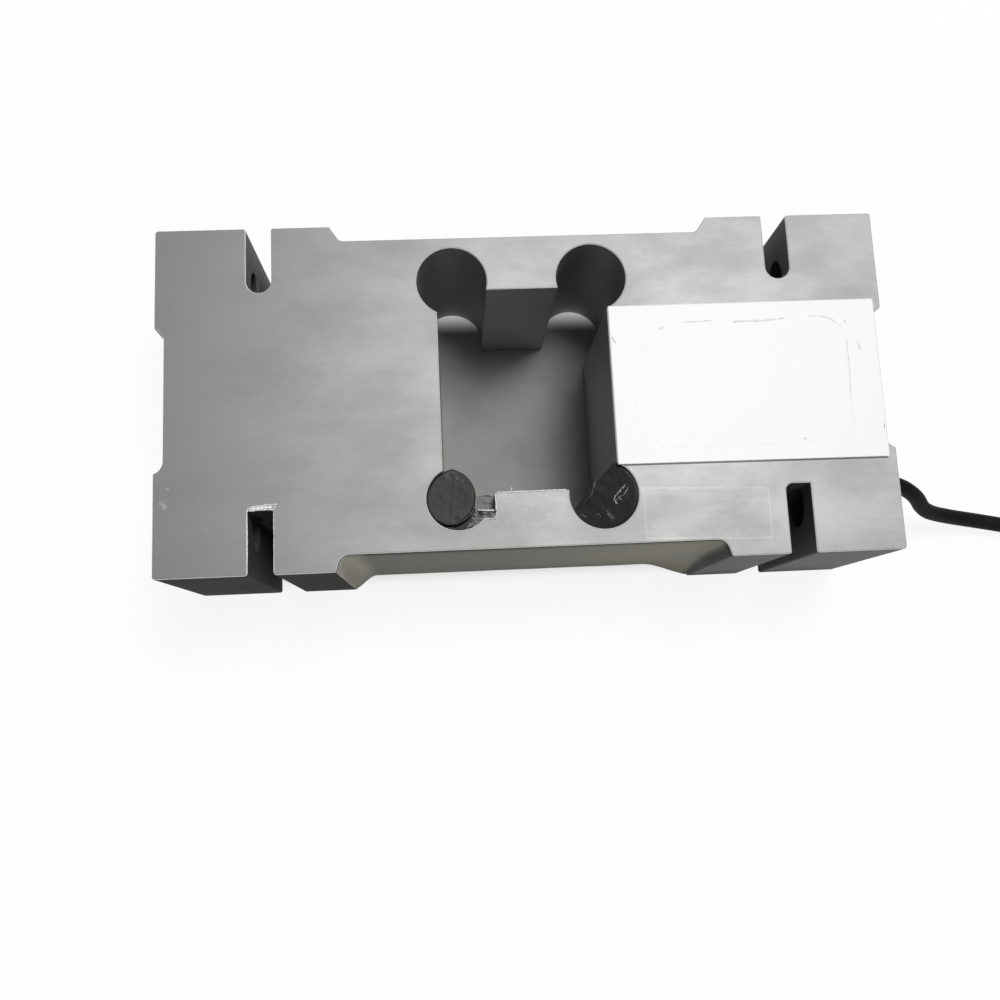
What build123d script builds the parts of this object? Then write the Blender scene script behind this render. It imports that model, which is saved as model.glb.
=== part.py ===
from build123d import *
import math
import os

# Single-point weighing load cell lying on its side face, as it lies on a bench.
# X runs along the body, Y is the direction that it weighs in, Z crosses its width. Millimetres.
# The origin is the centre of the body's lower side face, so the body stands on Z = 0.

# Machined aluminium block
length = 175.0
height = 84.0
width = 48.0
corner_r = 0.8

# Shallow recess along each long side, between the pads, with sloped ends that run round into its floor
recess_depth_upper = 3.7
recess_depth_lower = 4.0
recess_length = 92.0
recess_slope_upper = 2.5
recess_slope_lower = 1.2
recess_cove_upper = 1.5
recess_cove_lower = 2.8

# Shallow recess across each end face, between the pads, with the cutter's round at both its ends
end_recess_depth = 2.2
end_recess_floor = 29.0
end_recess_cove = 3.1

# Slots across the long sides that part the mounting pads from the measuring part
slot_width = 6.0
slot_inset = 21.5
slot_depth_upper = 16.3
slot_depth_lower_left = 15.0
slot_depth_lower_right = 16.7
slot_corner_left = 0.6
slot_corner_right = 1.7
slot_mouth_r = 0.6

# Window through the body, with a round hole at each corner that leaves a thin bending web
window_length = 41.0
window_height = 49.7
window_offset = -0.2
hole_r_upper = 8.5
hole_x_upper = 16.9
web_upper = 2.55
hole_r_left = 7.5
hole_x_left = 17.3
web_left = 4.6
hole_r_right = 8.2
hole_x_right = 16.8
web_right = 3.6

# Relief filed beside the lower tongue when the cell was trimmed for loads off its centre
relief_length = 5.2
relief_reach = 1.2
relief_drop = 3.9
relief_depth = 5.5
relief_bevel = 2.2
relief_bevel_depth = 3.0

# Tapped holes in the end pads, four in each end, which break out into the slots
tapped_r = 5.1
tapped_spacing_left = 59.6
tapped_spacing_right = 58.4
tapped_spacing_z = 25.0
countersink_r = 6.0
countersink_depth = 0.45

# Cable, its channel from the right end and its holding parts
cable_d = 4.2
cable_channel_r = 2.3
cable_channel_rise = 3.5
mouth_r = 3.5
mouth_depth = 12.0
relief_tip = 1.5
relief_tip_r = 2.9
ferrule_length = 3.8
jacket_end_gap = 4.0
core_d = 0.9
core_count = 4
core_sleeve_r = 1.1

# Circuit pocket in the front face, its cover, gasket and label
cover_from_end = 9.25
cover_length = 49.5
cover_height = 31.5
cover_centre_y = -0.3
cover_corner_r = 4.0
cover_thickness = 1.2
gasket_thickness = 0.2
cover_gap = 0.05
pocket_margin = 3.0
pocket_depth = 12.0
pocket_corner_r = 2.0
label_length = 64.7
label_height = 39.5
label_thickness = 0.15
label_from_recess = 0.1

# Circuit board with its trimming resistors
board_length = 36.0
board_height = 15.0
board_thickness = 1.6
board_edge_gap = 0.9
board_pad_thickness = 1.0
board_pad_margin = 2.5
resistor_r = 1.3
resistor_length = 6.6
resistor_pitch = 8.5
bobbin_r = 2.6
bobbin_length = 4.2
chip_size = 3.2
chip_thickness = 0.7

# Sensing grids, terminals, plugs and sealing compound in the two lower holes
fit_gap = 0.05
gauge_thickness = 0.15
gauge_half_angle = 16.0
gauge_length = 6.0
gauge_spacing = 16.0
terminal_width = 5.0
terminal_thickness = 0.8
terminal_length = 5.0
plug_left_rx = 5.65
plug_left_ry = 6.4
plug_left_out = 1.7
plug_left_up = 0.4
plug_left_top = 1.7
plug_right_rx = 5.8
plug_right_ry = 6.8
plug_right_out = 2.3
plug_right_up = 0.3
plug_right_top = 4.0
plug_waist_r = 3.0
plug_waist_length = 6.0
plug_foot = 5.0
compound_top = 4.0
compound_foot = 4.0
compound_out = 5.5
compound_left_drop = -1.1
compound_left_reach = 7.5
compound_right_drop = 0.4
compound_right_reach = 3.2
compound_right_spread = 4.2
compound_right_fall = 3.4

# Wire looms and the drilled ways that they run in
loom_r = 0.8
tongue_channel_r = 1.6
tongue_channel_drop = 5.1
riser_r = 2.3
riser_inset = 3.25
riser_pitch = 15.0
riser_to_board = 6.35
lead_on_board = 1.5

# Sealing coat in the lower long-side recess
coat_thickness = 0.5
coat_margin = 0.4

# Free cable: its straight start, the points of its route beyond the strain relief, with their height
# above a cable that lies on the bench, and its put-away coil
route_start = 5.0
cable_route = [(10.2, -22.8, 20.5), (15.7, -25.1, 16.8), (20.2, -28.2, 10.3), (28.7, -29.2, 5.1),
               (40.2, -30.6, 1.7), (52.9, -32.9, 0.2), (64.5, -34.9, 0.0), (82.0, -35.4, 0.0),
               (99.0, -35.4, 0.0)]
coil_columns = 4
coil_layers = 3
coil_mean_r = 25.0
coil_seat = 0.2
end_turn = 48.0
end_core_length = 17.0
drain_length = 12.0

# Values worked out from the ones above
half_length = length / 2
half_height = height / 2
mid_z = width / 2
floor_upper = half_height - recess_depth_upper
floor_lower = -half_height + recess_depth_lower
slot_outer = half_length - slot_inset
slot_centre = slot_outer - slot_width / 2
hole_y_upper = floor_upper - web_upper - hole_r_upper
hole_y_left = floor_lower + web_left + hole_r_left
hole_y_right = floor_lower + web_right + hole_r_right
tongue_edge = window_height / 2
relief_right = -hole_x_left + hole_r_left + relief_reach
plug_left_x = -hole_x_left - plug_left_out
plug_left_y = hole_y_left + plug_left_up
plug_right_x = hole_x_right + plug_right_out
plug_right_y = hole_y_right + plug_right_up
tongue_channel_y = hole_y_left - tongue_channel_drop
cable_channel_y = -half_height + slot_depth_lower_right + cable_channel_rise
cover_x = half_length - cover_from_end - cover_length / 2
cover_seat = width - cover_thickness - gasket_thickness
pocket_length = cover_length - 2 * pocket_margin
pocket_height = cover_height - 2 * pocket_margin
pocket_floor = width - pocket_depth
riser_gauge_x = cover_x - pocket_length / 2 + riser_inset
riser_cable_x = riser_gauge_x + riser_pitch
jacket_end_x = riser_cable_x + jacket_end_gap
riser_rise = pocket_floor - mid_z
board_top = pocket_floor + board_pad_thickness + board_thickness
board_low = cover_centre_y + pocket_height / 2 - board_edge_gap - board_height
riser_run = board_low - riser_to_board - cable_channel_y
riser_slope = riser_run / riser_rise
cable_tip_x = half_length + relief_tip


def prism(points, z0, z1):
    """Straight prism on a closed outline of XY points, from z0 to z1."""
    return Pos(0, 0, z0) * extrude(Polygon(*points, align=None), z1 - z0, dir=(0, 0, 1))


def block(x0, x1, y0, y1, z0, z1):
    """Plain block between two corners."""
    return Pos((x0 + x1) / 2, (y0 + y1) / 2, (z0 + z1) / 2) * Box(x1 - x0, y1 - y0, z1 - z0)


def post(x, y, r, z0, z1):
    """Round post along Z."""
    return Pos(x, y, (z0 + z1) / 2) * Cylinder(r, z1 - z0)


def bar_x(x0, x1, y, z, r):
    """Round bar along X."""
    return Pos((x0 + x1) / 2, y, z) * Rot(0, 90, 0) * Cylinder(r, x1 - x0)


def plate(x, y, size_x, size_y, r, z0, z1):
    """Flat plate with round corners."""
    return Pos(x, y, z0) * extrude(RectangleRounded(size_x, size_y, r), z1 - z0, dir=(0, 0, 1))


def oval_post(x, y, rx, ry, z0, z1):
    """Post along Z with straight sides and round ends, taller than it is wide."""
    return Pos(x, y, z0) * extrude(SlotOverall(2 * ry, 2 * rx, rotation=90), z1 - z0, dir=(0, 0, 1))


def rod(points, r, bend):
    """Round rod along straight runs joined by arcs of radius bend."""
    path = FilletPolyline(*points, radius=bend)
    return sweep((path ^ 0) * Circle(r), path=path)


def arc_strip(x, y, r_in, r_out, half_angle, z0, z1):
    """Curved strip on the lowest part of a round hole's wall."""
    reach = 2 * r_out
    side = reach * math.tan(math.radians(half_angle))
    wedge = Polygon((0, 0), (-side, -reach), (side, -reach), align=None)
    ring = Circle(r_out) - Circle(r_in)
    return Pos(x, y, z0) * extrude(ring & wedge, z1 - z0, dir=(0, 0, 1))


def lower_recess(inset):
    """Outline of the lower long-side recess, or of the space left in it by a layer as thick as inset."""
    top = recess_length / 2 - inset
    low = top - recess_slope_lower
    floor = floor_lower - inset
    shape = Polygon((-top, -half_height), (-low, floor), (low, floor), (top, -half_height), align=None)
    return fillet(shape.vertices().group_by(Axis.Y)[-1], recess_cove_lower - inset)


def body_profile():
    """Outline of the block seen from the front, with its window, recesses and slots."""
    profile = RectangleRounded(length, height, corner_r)
    top = recess_length / 2
    low = top - recess_slope_upper
    upper = Polygon((-top, half_height), (-low, floor_upper), (low, floor_upper), (top, half_height), align=None)
    profile -= fillet(upper.vertices().group_by(Axis.Y)[0], recess_cove_upper)
    profile -= lower_recess(0)
    for side in (-1, 1):
        profile -= Pos(side * half_length, 0) * Rectangle(2 * end_recess_depth, end_recess_floor)
        for end in (-end_recess_floor / 2, end_recess_floor / 2):
            profile -= Pos(side * (half_length - end_recess_depth + end_recess_cove), end) * Circle(end_recess_cove)
        straight = slot_depth_upper - slot_width / 2
        profile -= Pos(side * slot_centre, half_height - straight / 2) * Rectangle(slot_width, straight)
        profile -= Pos(side * slot_centre, half_height - straight) * Circle(slot_width / 2)
    left_slot = Rectangle(slot_width, slot_depth_lower_left)
    left_slot = fillet(left_slot.vertices().group_by(Axis.Y)[-1], slot_corner_left)
    profile -= Pos(-slot_centre, -half_height + slot_depth_lower_left / 2) * left_slot
    right_slot = Rectangle(slot_width, slot_depth_lower_right)
    right_slot = fillet(right_slot.vertices().group_by(Axis.Y)[-1].sort_by(Axis.X)[0], slot_corner_right)
    profile -= Pos(slot_centre, -half_height + slot_depth_lower_right / 2) * right_slot
    mouths = [v for v in profile.vertices()
              if abs(abs(v.Y) - half_height) < 0.01 and abs(abs(v.X) - slot_centre) < slot_width]
    profile = fillet(mouths, slot_mouth_r)
    profile -= Pos(window_offset, 0) * Rectangle(window_length, window_height)
    for side in (-1, 1):
        profile -= Pos(side * hole_x_upper, hole_y_upper) * Circle(hole_r_upper)
    profile -= Pos(-hole_x_left, hole_y_left) * Circle(hole_r_left)
    profile -= Pos(hole_x_right, hole_y_right) * Circle(hole_r_right)
    return profile


def build_body():
    """Machined block: the profile across the full width, then the drilled and milled features."""
    body = extrude(body_profile(), width, dir=(0, 0, 1))
    from_face = (Align.CENTER, Align.CENTER, Align.MAX)
    drill = Cylinder(tapped_r, slot_inset + 1, align=from_face)
    drill += Cone(tapped_r, countersink_r, countersink_depth, align=from_face)
    for side, spacing in ((-1, tapped_spacing_left), (1, tapped_spacing_right)):
        for y in (-spacing / 2, spacing / 2):
            for z in (mid_z - tapped_spacing_z / 2, mid_z + tapped_spacing_z / 2):
                body -= Pos(side * half_length, y, z) * Rot(0, side * 90, 0) * drill
    relief_floor = -tongue_edge - relief_drop
    body -= block(relief_right - relief_length, relief_right, relief_floor, -tongue_edge + 1,
                  width - relief_depth, width)
    bevel = Plane.YZ * Polygon((relief_floor, width), (relief_floor, width - relief_bevel_depth),
                               (relief_floor - relief_bevel, width), align=None)
    body -= Pos(relief_right - relief_length, 0, 0) * extrude(bevel, relief_length, dir=(1, 0, 0))
    body -= plate(cover_x, cover_centre_y, cover_length, cover_height, cover_corner_r, cover_seat, width)
    body -= plate(cover_x, cover_centre_y, pocket_length, pocket_height, pocket_corner_r, pocket_floor, width)
    body -= bar_x(hole_x_right, half_length, cable_channel_y, mid_z, cable_channel_r)
    body -= bar_x(half_length - mouth_depth, half_length, cable_channel_y, mid_z, mouth_r)
    body -= bar_x(-hole_x_left + 4, hole_x_right - 5, tongue_channel_y, mid_z, tongue_channel_r)
    for x in (riser_gauge_x, riser_cable_x):
        riser = Cylinder(riser_r, math.hypot(riser_run, riser_rise) + 2,
                         align=(Align.CENTER, Align.CENTER, Align.MIN))
        body -= Pos(x, cable_channel_y, mid_z) * Rot(-math.degrees(math.atan(riser_slope)), 0, 0) * riser
    return body


def build_coat():
    """Sealing coat over the floor and sloped ends of the lower long-side recess."""
    layer = lower_recess(0) - lower_recess(coat_thickness)
    return Pos(0, 0, coat_margin) * extrude(layer, width - 2 * coat_margin, dir=(0, 0, 1))


def build_cover():
    """Cover plate, its gasket and the label over it."""
    size_x = cover_length - 2 * cover_gap
    size_y = cover_height - 2 * cover_gap
    corner = cover_corner_r - cover_gap
    cover = plate(cover_x, cover_centre_y, size_x, size_y, corner, width - cover_thickness, width)
    gasket = plate(cover_x, cover_centre_y, size_x, size_y, corner, cover_seat, cover_seat + gasket_thickness)
    gasket -= plate(cover_x, cover_centre_y, pocket_length, pocket_height, pocket_corner_r, cover_seat, width)
    right = half_length - end_recess_depth - label_from_recess
    label = block(right - label_length, right, -label_height / 2, label_height / 2, width, width + label_thickness)
    return cover, gasket, label


def build_circuit():
    """Circuit board on its foam pad, with the trimming resistors."""
    board_y = board_low + board_height / 2
    board_z = board_top - board_thickness
    pad = plate(cover_x, board_y, board_length - 2 * board_pad_margin, board_height - 2 * board_pad_margin,
                1.0, pocket_floor, board_z)
    board = plate(cover_x, board_y, board_length, board_height, 0.8, board_z, board_top)
    top = board_top
    axial = Rot(90, 0, 0) * Cylinder(resistor_r, resistor_length)
    axial = axial & block(-resistor_r, resistor_r, -resistor_length, resistor_length, -resistor_r * 0.9, resistor_r)
    seat = top + resistor_r * 0.9
    row_y = board_y + 1.6
    zero = Pos(cover_x - 1.5 * resistor_pitch, row_y, seat) * axial
    span = Pos(cover_x - 0.5 * resistor_pitch, row_y, seat) * axial
    bobbin = post(cover_x + 0.5 * resistor_pitch, row_y, bobbin_r, top, top + bobbin_length)
    bobbin -= post(cover_x + 0.5 * resistor_pitch, row_y, bobbin_r * 0.35, top + 0.8, top + bobbin_length)
    chip_x = cover_x + 1.5 * resistor_pitch
    chip = block(chip_x - chip_size / 2, chip_x + chip_size / 2, row_y - chip_size / 4, row_y + chip_size / 4,
                 top, top + chip_thickness)
    return pad, board, zero, span, bobbin, chip


def build_hole_parts(x, y, r, plug, fill, loom_ways):
    """Gauges, terminal, plug and sealing compound of one lower hole, with ways kept for the looms."""
    gauges = []
    voids = []
    wall = r - fit_gap
    for z in (mid_z - gauge_spacing / 2, mid_z + gauge_spacing / 2):
        z0 = z - gauge_length / 2
        z1 = z + gauge_length / 2
        gauges.append(arc_strip(x, y, wall - gauge_thickness, wall, gauge_half_angle, z0, z1))
        voids.append(arc_strip(x, y, wall - gauge_thickness - fit_gap, r, gauge_half_angle + 1, z0, z1))
    seat = y - math.sqrt(wall ** 2 - (terminal_width / 2) ** 2)
    t0 = mid_z - terminal_length / 2
    t1 = mid_z + terminal_length / 2
    terminal = block(x - terminal_width / 2, x + terminal_width / 2, seat, seat + terminal_thickness, t0, t1)
    plug_x, plug_y, plug_rx, plug_ry, plug_top = plug
    stopper = oval_post(plug_x, plug_y, plug_rx, plug_ry, plug_foot, width - plug_top)
    stopper &= post(x, y, wall, plug_foot, width)
    waist_z = (mid_z - plug_waist_length / 2, mid_z + plug_waist_length / 2)
    groove = oval_post(plug_x, plug_y, plug_rx, plug_ry, *waist_z)
    groove -= post(plug_x, plug_y, plug_waist_r, *waist_z)
    stopper -= groove
    filled = post(x, y, wall, compound_foot, width - compound_top)
    side = math.copysign(1, x)
    drop, reach, spread, fall = fill
    outline = [(x + side * compound_out, y - 2 * r), (x + side * compound_out, y - drop), (x - side * reach, y - drop),
               (x - side * (reach + spread), y - drop - fall), (x - side * (reach + spread), y - 2 * r)]
    compound = filled & prism(outline, 0, width)
    compound -= oval_post(plug_x, plug_y, plug_rx + fit_gap, plug_ry + fit_gap, 0, width)
    compound -= terminal
    for void in voids + loom_ways:
        compound -= void
    return gauges, terminal, stopper, compound


def loom_points():
    """Routes of the loom between the two lower holes and of the loom from there to the board."""
    left_top = hole_y_left - math.sqrt((hole_r_left - fit_gap) ** 2 - (terminal_width / 2) ** 2) + terminal_thickness
    right_top = hole_y_right - math.sqrt((hole_r_right - fit_gap) ** 2 - (terminal_width / 2) ** 2) + terminal_thickness
    lift = loom_r + fit_gap
    bridge = [(-hole_x_left + 0.8, left_top + lift, mid_z), (-hole_x_left + 3.8, tongue_channel_y, mid_z),
              (hole_x_right - 5.8, tongue_channel_y, mid_z), (hole_x_right - 1.6, right_top + lift, mid_z)]
    over_board = board_top + loom_r + fit_gap
    rise = over_board - mid_z
    signal = [(hole_x_right + 0.7, right_top + lift, mid_z), (plug_right_x + 3.8, plug_right_y - 3.4, mid_z),
              (plug_right_x + 4.1, plug_right_y + 3.8, mid_z), (riser_gauge_x, cable_channel_y, mid_z),
              (riser_gauge_x, cable_channel_y + rise * riser_slope, over_board),
              (riser_gauge_x + 3.0, board_low + lead_on_board, over_board)]
    return bridge, signal


def build_cores():
    """The cable's cores in their sleeve, from the end of the jacket, up the riser and onto the board."""
    over_board = board_top + core_sleeve_r + fit_gap
    rise = over_board - mid_z
    points = [(jacket_end_x, cable_channel_y, mid_z), (riser_cable_x, cable_channel_y, mid_z),
              (riser_cable_x, cable_channel_y + rise * riser_slope, over_board),
              (riser_cable_x, board_low + lead_on_board, over_board)]
    return rod(points, core_sleeve_r, 2.0)


def build_cable_end():
    """Ferrule and strain relief at the cable's mouth, and the cable's part inside the body."""
    start = half_length - mouth_depth
    inner_r = cable_d / 2 + fit_gap
    ferrule = bar_x(start, start + ferrule_length, cable_channel_y, mid_z, mouth_r - fit_gap)
    ferrule -= bar_x(start, start + ferrule_length, cable_channel_y, mid_z, inner_r)
    sleeve_start = start + ferrule_length
    outline = Polygon((sleeve_start, inner_r), (cable_tip_x, inner_r), (cable_tip_x, relief_tip_r),
                      (half_length, mouth_r - fit_gap), (sleeve_start, mouth_r - fit_gap), align=None)
    relief = revolve(Plane.XZ * outline, Axis.X)
    relief = Pos(0, cable_channel_y, mid_z) * relief
    inner = bar_x(jacket_end_x, cable_tip_x, cable_channel_y, mid_z, cable_d / 2)
    return ferrule, relief, inner


def build_free_cable():
    """The free cable: tube, coil and stripped end, with its cores and shield drain."""
    points = [(cable_tip_x, cable_channel_y, mid_z), (cable_tip_x + route_start, cable_channel_y, mid_z)]
    points += [(cable_tip_x + x, y, cable_d / 2 + rise) for x, y, rise in cable_route]
    radii = []
    for before, corner, after in zip(points, points[1:], points[2:]):
        run_in = Vector(*corner) - Vector(*before)
        run_out = Vector(*after) - Vector(*corner)
        half_turn = math.radians(run_in.get_angle(run_out)) / 2
        radii.append(0.45 * min(run_in.length, run_out.length) / math.tan(half_turn))
    print("cable radii", [round(r, 1) for r in radii])
    path = FilletPolyline(*points, radius=radii)
    tube = sweep((path ^ 0) * Circle(cable_d / 2), path=path)
    print("cable tube", round(path.length, 1), round(tube.volume / (path.length * math.pi * cable_d ** 2 / 4), 4))
    outer_r = coil_mean_r + coil_columns * cable_d / 2
    inner_r = coil_mean_r - coil_columns * cable_d / 2
    coil_h = coil_layers * cable_d
    end_x, end_y, end_z = points[-1]
    coil_y = end_y + outer_r - cable_d / 2
    coil = post(end_x, coil_y, outer_r, 0, coil_h) - post(end_x, coil_y, inner_r, 0, coil_h)
    entry_y = end_y + cable_d / 2 + coil_seat
    coil -= block(end_x - outer_r, end_x, entry_y - outer_r, entry_y, 0, cable_d + coil_seat)
    turn_z = coil_h + cable_d / 2
    turn = CenterArc((end_x, coil_y, turn_z), coil_mean_r, -90, end_turn)
    tail = sweep((turn ^ 0) * Circle(cable_d / 2), path=turn)
    tip = turn @ 1
    along = turn % 1
    across = Vector(-along.Y, along.X, 0)
    cores = []
    for i in range(core_count + 1):
        spread = i - core_count / 2
        reach = drain_length if i == core_count else end_core_length
        start = tip + along * 0.15 + across * (spread * 0.9) + Vector(0, 0, -0.6)
        middle = tip + along * (reach * 0.4) + across * (spread * 1.5)
        finish = tip + along * reach + across * (spread * 2.4 + 0.05 * reach)
        low = coil_h + core_d / 2
        cores.append(rod([start, Vector(middle.X, middle.Y, low), Vector(finish.X, finish.Y, low)], core_d / 2 - 0.05, 4.0))
    return tube, coil, tail, cores


def main():
    """Build every piece and write one STEP file for each."""
    os.makedirs("parts", exist_ok=True)
    parts = {"body": build_body(), "recess_coat": build_coat()}
    parts["circuit_cover"], parts["cover_gasket"], parts["label"] = build_cover()
    names = ("board_pad", "circuit_board", "zero_resistor", "span_resistor", "temperature_resistor", "input_resistor")
    parts.update(zip(names, build_circuit()))
    bridge, signal = loom_points()
    parts["bridge_loom"] = rod(bridge, loom_r, 2.0)
    parts["signal_loom"] = rod(signal, loom_r, 1.0)
    way_r = loom_r + fit_gap
    ways = [rod(bridge, way_r, 2.0), rod(signal, way_r, 1.0)]
    plug = (plug_left_x, plug_left_y, plug_left_rx, plug_left_ry, plug_left_top)
    fill = (compound_left_drop, compound_left_reach, 0, 0)
    gauges, terminal, stopper, compound = build_hole_parts(
        -hole_x_left, hole_y_left, hole_r_left, plug, fill, ways[:1])
    parts["gauge_left_back"], parts["gauge_left_front"] = gauges
    parts["terminal_left"] = terminal
    parts["plug_left"] = stopper
    parts["compound_left"] = compound
    plug = (plug_right_x, plug_right_y, plug_right_rx, plug_right_ry, plug_right_top)
    fill = (compound_right_drop, compound_right_reach, compound_right_spread, compound_right_fall)
    gauges, terminal, stopper, compound = build_hole_parts(
        hole_x_right, hole_y_right, hole_r_right, plug, fill, ways)
    parts["gauge_right_back"], parts["gauge_right_front"] = gauges
    parts["terminal_right"] = terminal
    parts["plug_right"] = stopper
    parts["compound_right"] = compound
    parts["cable_cores"] = build_cores()
    parts["cable_ferrule"], parts["strain_relief"], parts["cable_inner"] = build_cable_end()
    tube, coil, tail, cores = build_free_cable()
    parts["cable"] = tube
    parts["cable_coil"] = coil
    parts["cable_end"] = tail
    for name, core in zip(("core_red", "core_black", "core_green", "core_white", "shield_drain"), cores):
        parts[name] = core
    for name, part in parts.items():
        export_step(part, f"parts/{name}.step")


main()
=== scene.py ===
"""Weighing load cell lying on its side face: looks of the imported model, its studio and its camera."""
import logging
from dataclasses import dataclass, field
from enum import Enum
from typing import Sequence

import bmesh
import bpy
import numpy as np
from mathutils import Matrix, Vector


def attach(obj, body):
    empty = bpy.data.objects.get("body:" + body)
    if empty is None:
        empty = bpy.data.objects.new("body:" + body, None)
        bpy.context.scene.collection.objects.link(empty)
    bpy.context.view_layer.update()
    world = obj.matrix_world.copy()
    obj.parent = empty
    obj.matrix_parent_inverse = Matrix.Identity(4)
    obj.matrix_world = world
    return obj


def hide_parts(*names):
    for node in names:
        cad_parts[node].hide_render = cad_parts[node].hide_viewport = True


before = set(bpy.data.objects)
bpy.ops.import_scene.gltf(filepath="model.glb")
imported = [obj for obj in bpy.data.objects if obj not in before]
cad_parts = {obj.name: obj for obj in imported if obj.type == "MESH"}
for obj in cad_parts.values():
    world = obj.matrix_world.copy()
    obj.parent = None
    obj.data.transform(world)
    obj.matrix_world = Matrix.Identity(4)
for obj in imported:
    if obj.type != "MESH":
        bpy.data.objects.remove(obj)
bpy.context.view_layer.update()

LOG = logging.getLogger("load_cell")
MM = 0.001
Color = tuple[float, float, float]
Point = tuple[float, float, float]
Span = tuple[float, float]
Line = tuple[tuple[float, float], ...]
Box = tuple[Span, Span]
Mark = tuple[Span, Span, float]
Socket = bpy.types.NodeSocket

# The cable's route from the strain relief to the coil, in metres, as the part's source has it
CABLE_ROUTE: list[Point] = [
    (0.0890, -0.0218, 0.0240), (0.0940, -0.0218, 0.0240), (0.0992, -0.0228, 0.0226),
    (0.1047, -0.0251, 0.0189), (0.1092, -0.0282, 0.0124), (0.1177, -0.0292, 0.0072),
    (0.1292, -0.0306, 0.0038), (0.1419, -0.0329, 0.0023), (0.1535, -0.0349, 0.0021),
    (0.1710, -0.0354, 0.0021), (0.1880, -0.0354, 0.0021),
]


class Axis(Enum):
    """Axis of the shared frame."""

    X = 0
    Y = 1
    Z = 2


class Shade:
    """Node tree of one material on Object coordinates, with short calls for the nodes that finishes use."""

    def __init__(self, name: str) -> None:
        """Start a material with an empty Principled shader.

        Args:
            name: the material's name.
        """
        self.material = bpy.data.materials.new(name)
        self.material.use_nodes = True
        self.tree = self.material.node_tree
        self.tree.nodes.clear()
        output = self.tree.nodes.new("ShaderNodeOutputMaterial")
        self.shader = self.tree.nodes.new("ShaderNodeBsdfPrincipled")
        self.tree.links.new(self.shader.outputs["BSDF"], output.inputs["Surface"])
        self.place = self.tree.nodes.new("ShaderNodeTexCoord").outputs["Object"]
        split = self.tree.nodes.new("ShaderNodeSeparateXYZ")
        self.tree.links.new(self.place, split.inputs["Vector"])
        self.axes = [split.outputs[i] for i in range(3)]

    def feed(self, socket: Socket, value: Socket | float | Color) -> None:
        """Link a socket to a node's output, or set its value.

        Args:
            socket: the input to feed.
            value: a node's output, a number or a colour.
        """
        if isinstance(value, bpy.types.NodeSocket):
            self.tree.links.new(value, socket)
        elif isinstance(value, tuple):
            socket.default_value = (*value, 1.0) if len(socket.default_value) == 4 else value
        else:
            socket.default_value = value

    def set(self, **values: Socket | float | Color) -> "Shade":
        """Feed the shader's sockets.

        Args:
            values: what each socket gets, by its name with underscores for spaces.
        Returns:
            This shade, so that calls chain.
        """
        for name, value in values.items():
            self.feed(self.shader.inputs[name.replace("_", " ")], value)
        return self

    def stretched(self, scale: Point) -> Socket:
        """Object coordinates stretched along the axes.

        Args:
            scale: the pattern's repeats a metre along X, Y and Z.
        Returns:
            The stretched coordinates.
        """
        mapping = self.tree.nodes.new("ShaderNodeMapping")
        self.tree.links.new(self.place, mapping.inputs["Vector"])
        mapping.inputs["Scale"].default_value = scale
        return mapping.outputs["Vector"]

    def noise(self, scale: Point | float, detail: float = 3.0, rough: float = 0.55,
              twist: float = 0.0) -> Socket:
        """Noise on Object coordinates.

        Args:
            scale: repeats a metre, one number or one along each axis.
            detail: octaves.
            rough: share of each finer octave.
            twist: distortion.
        Returns:
            The noise, from 0 to 1.
        """
        spread = scale if isinstance(scale, tuple) else (scale, scale, scale)
        node = self.tree.nodes.new("ShaderNodeTexNoise")
        self.tree.links.new(self.stretched(spread), node.inputs["Vector"])
        node.inputs["Scale"].default_value = 1.0
        node.inputs["Detail"].default_value = detail
        node.inputs["Roughness"].default_value = rough
        node.inputs["Distortion"].default_value = twist
        return node.outputs["Fac"]

    def cells(self, scale: float) -> Socket:
        """Distance to the nearest of scattered points.

        Args:
            scale: cells a metre.
        Returns:
            The distance in cells.
        """
        node = self.tree.nodes.new("ShaderNodeTexVoronoi")
        self.tree.links.new(self.stretched((scale, scale, scale)), node.inputs["Vector"])
        node.inputs["Scale"].default_value = 1.0
        return node.outputs["Distance"]

    def sums(self, operation: str, a: Socket | float, b: Socket | float, clamp: bool = False) -> Socket:
        """Put two values through one Math node.

        Args:
            operation: the node's operation.
            a: first value.
            b: second value.
            clamp: whether the result is held between 0 and 1.
        Returns:
            The result.
        """
        node = self.tree.nodes.new("ShaderNodeMath")
        node.operation = operation
        node.use_clamp = clamp
        self.feed(node.inputs[0], a)
        self.feed(node.inputs[1], b)
        return node.outputs["Value"]

    def times(self, a: Socket | float, b: Socket | float) -> Socket:
        """Product of two values."""
        return self.sums("MULTIPLY", a, b)

    def most(self, a: Socket | float, b: Socket | float) -> Socket:
        """Larger of two values."""
        return self.sums("MAXIMUM", a, b)

    def ranged(self, value: Socket | float, low: float, high: float, to_low: float = 0.0,
               to_high: float = 1.0) -> Socket:
        """Map a value from one range onto another with a smooth step, held at both ends.

        Args:
            value: the value.
            low: where the first range starts.
            high: where it ends.
            to_low: what its start becomes.
            to_high: what its end becomes.
        Returns:
            The mapped value.
        """
        node = self.tree.nodes.new("ShaderNodeMapRange")
        node.interpolation_type = "SMOOTHSTEP"
        self.feed(node.inputs["Value"], value)
        for name, number in (("From Min", low), ("From Max", high), ("To Min", to_low), ("To Max", to_high)):
            node.inputs[name].default_value = number
        return node.outputs["Result"]

    def band(self, axis: Axis, low: float, high: float, soft: float) -> Socket:
        """Mask of 1 between two places on an axis, in millimetres, with soft edges."""
        return self.between(self.axes[axis.value], low, high, soft)

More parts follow.
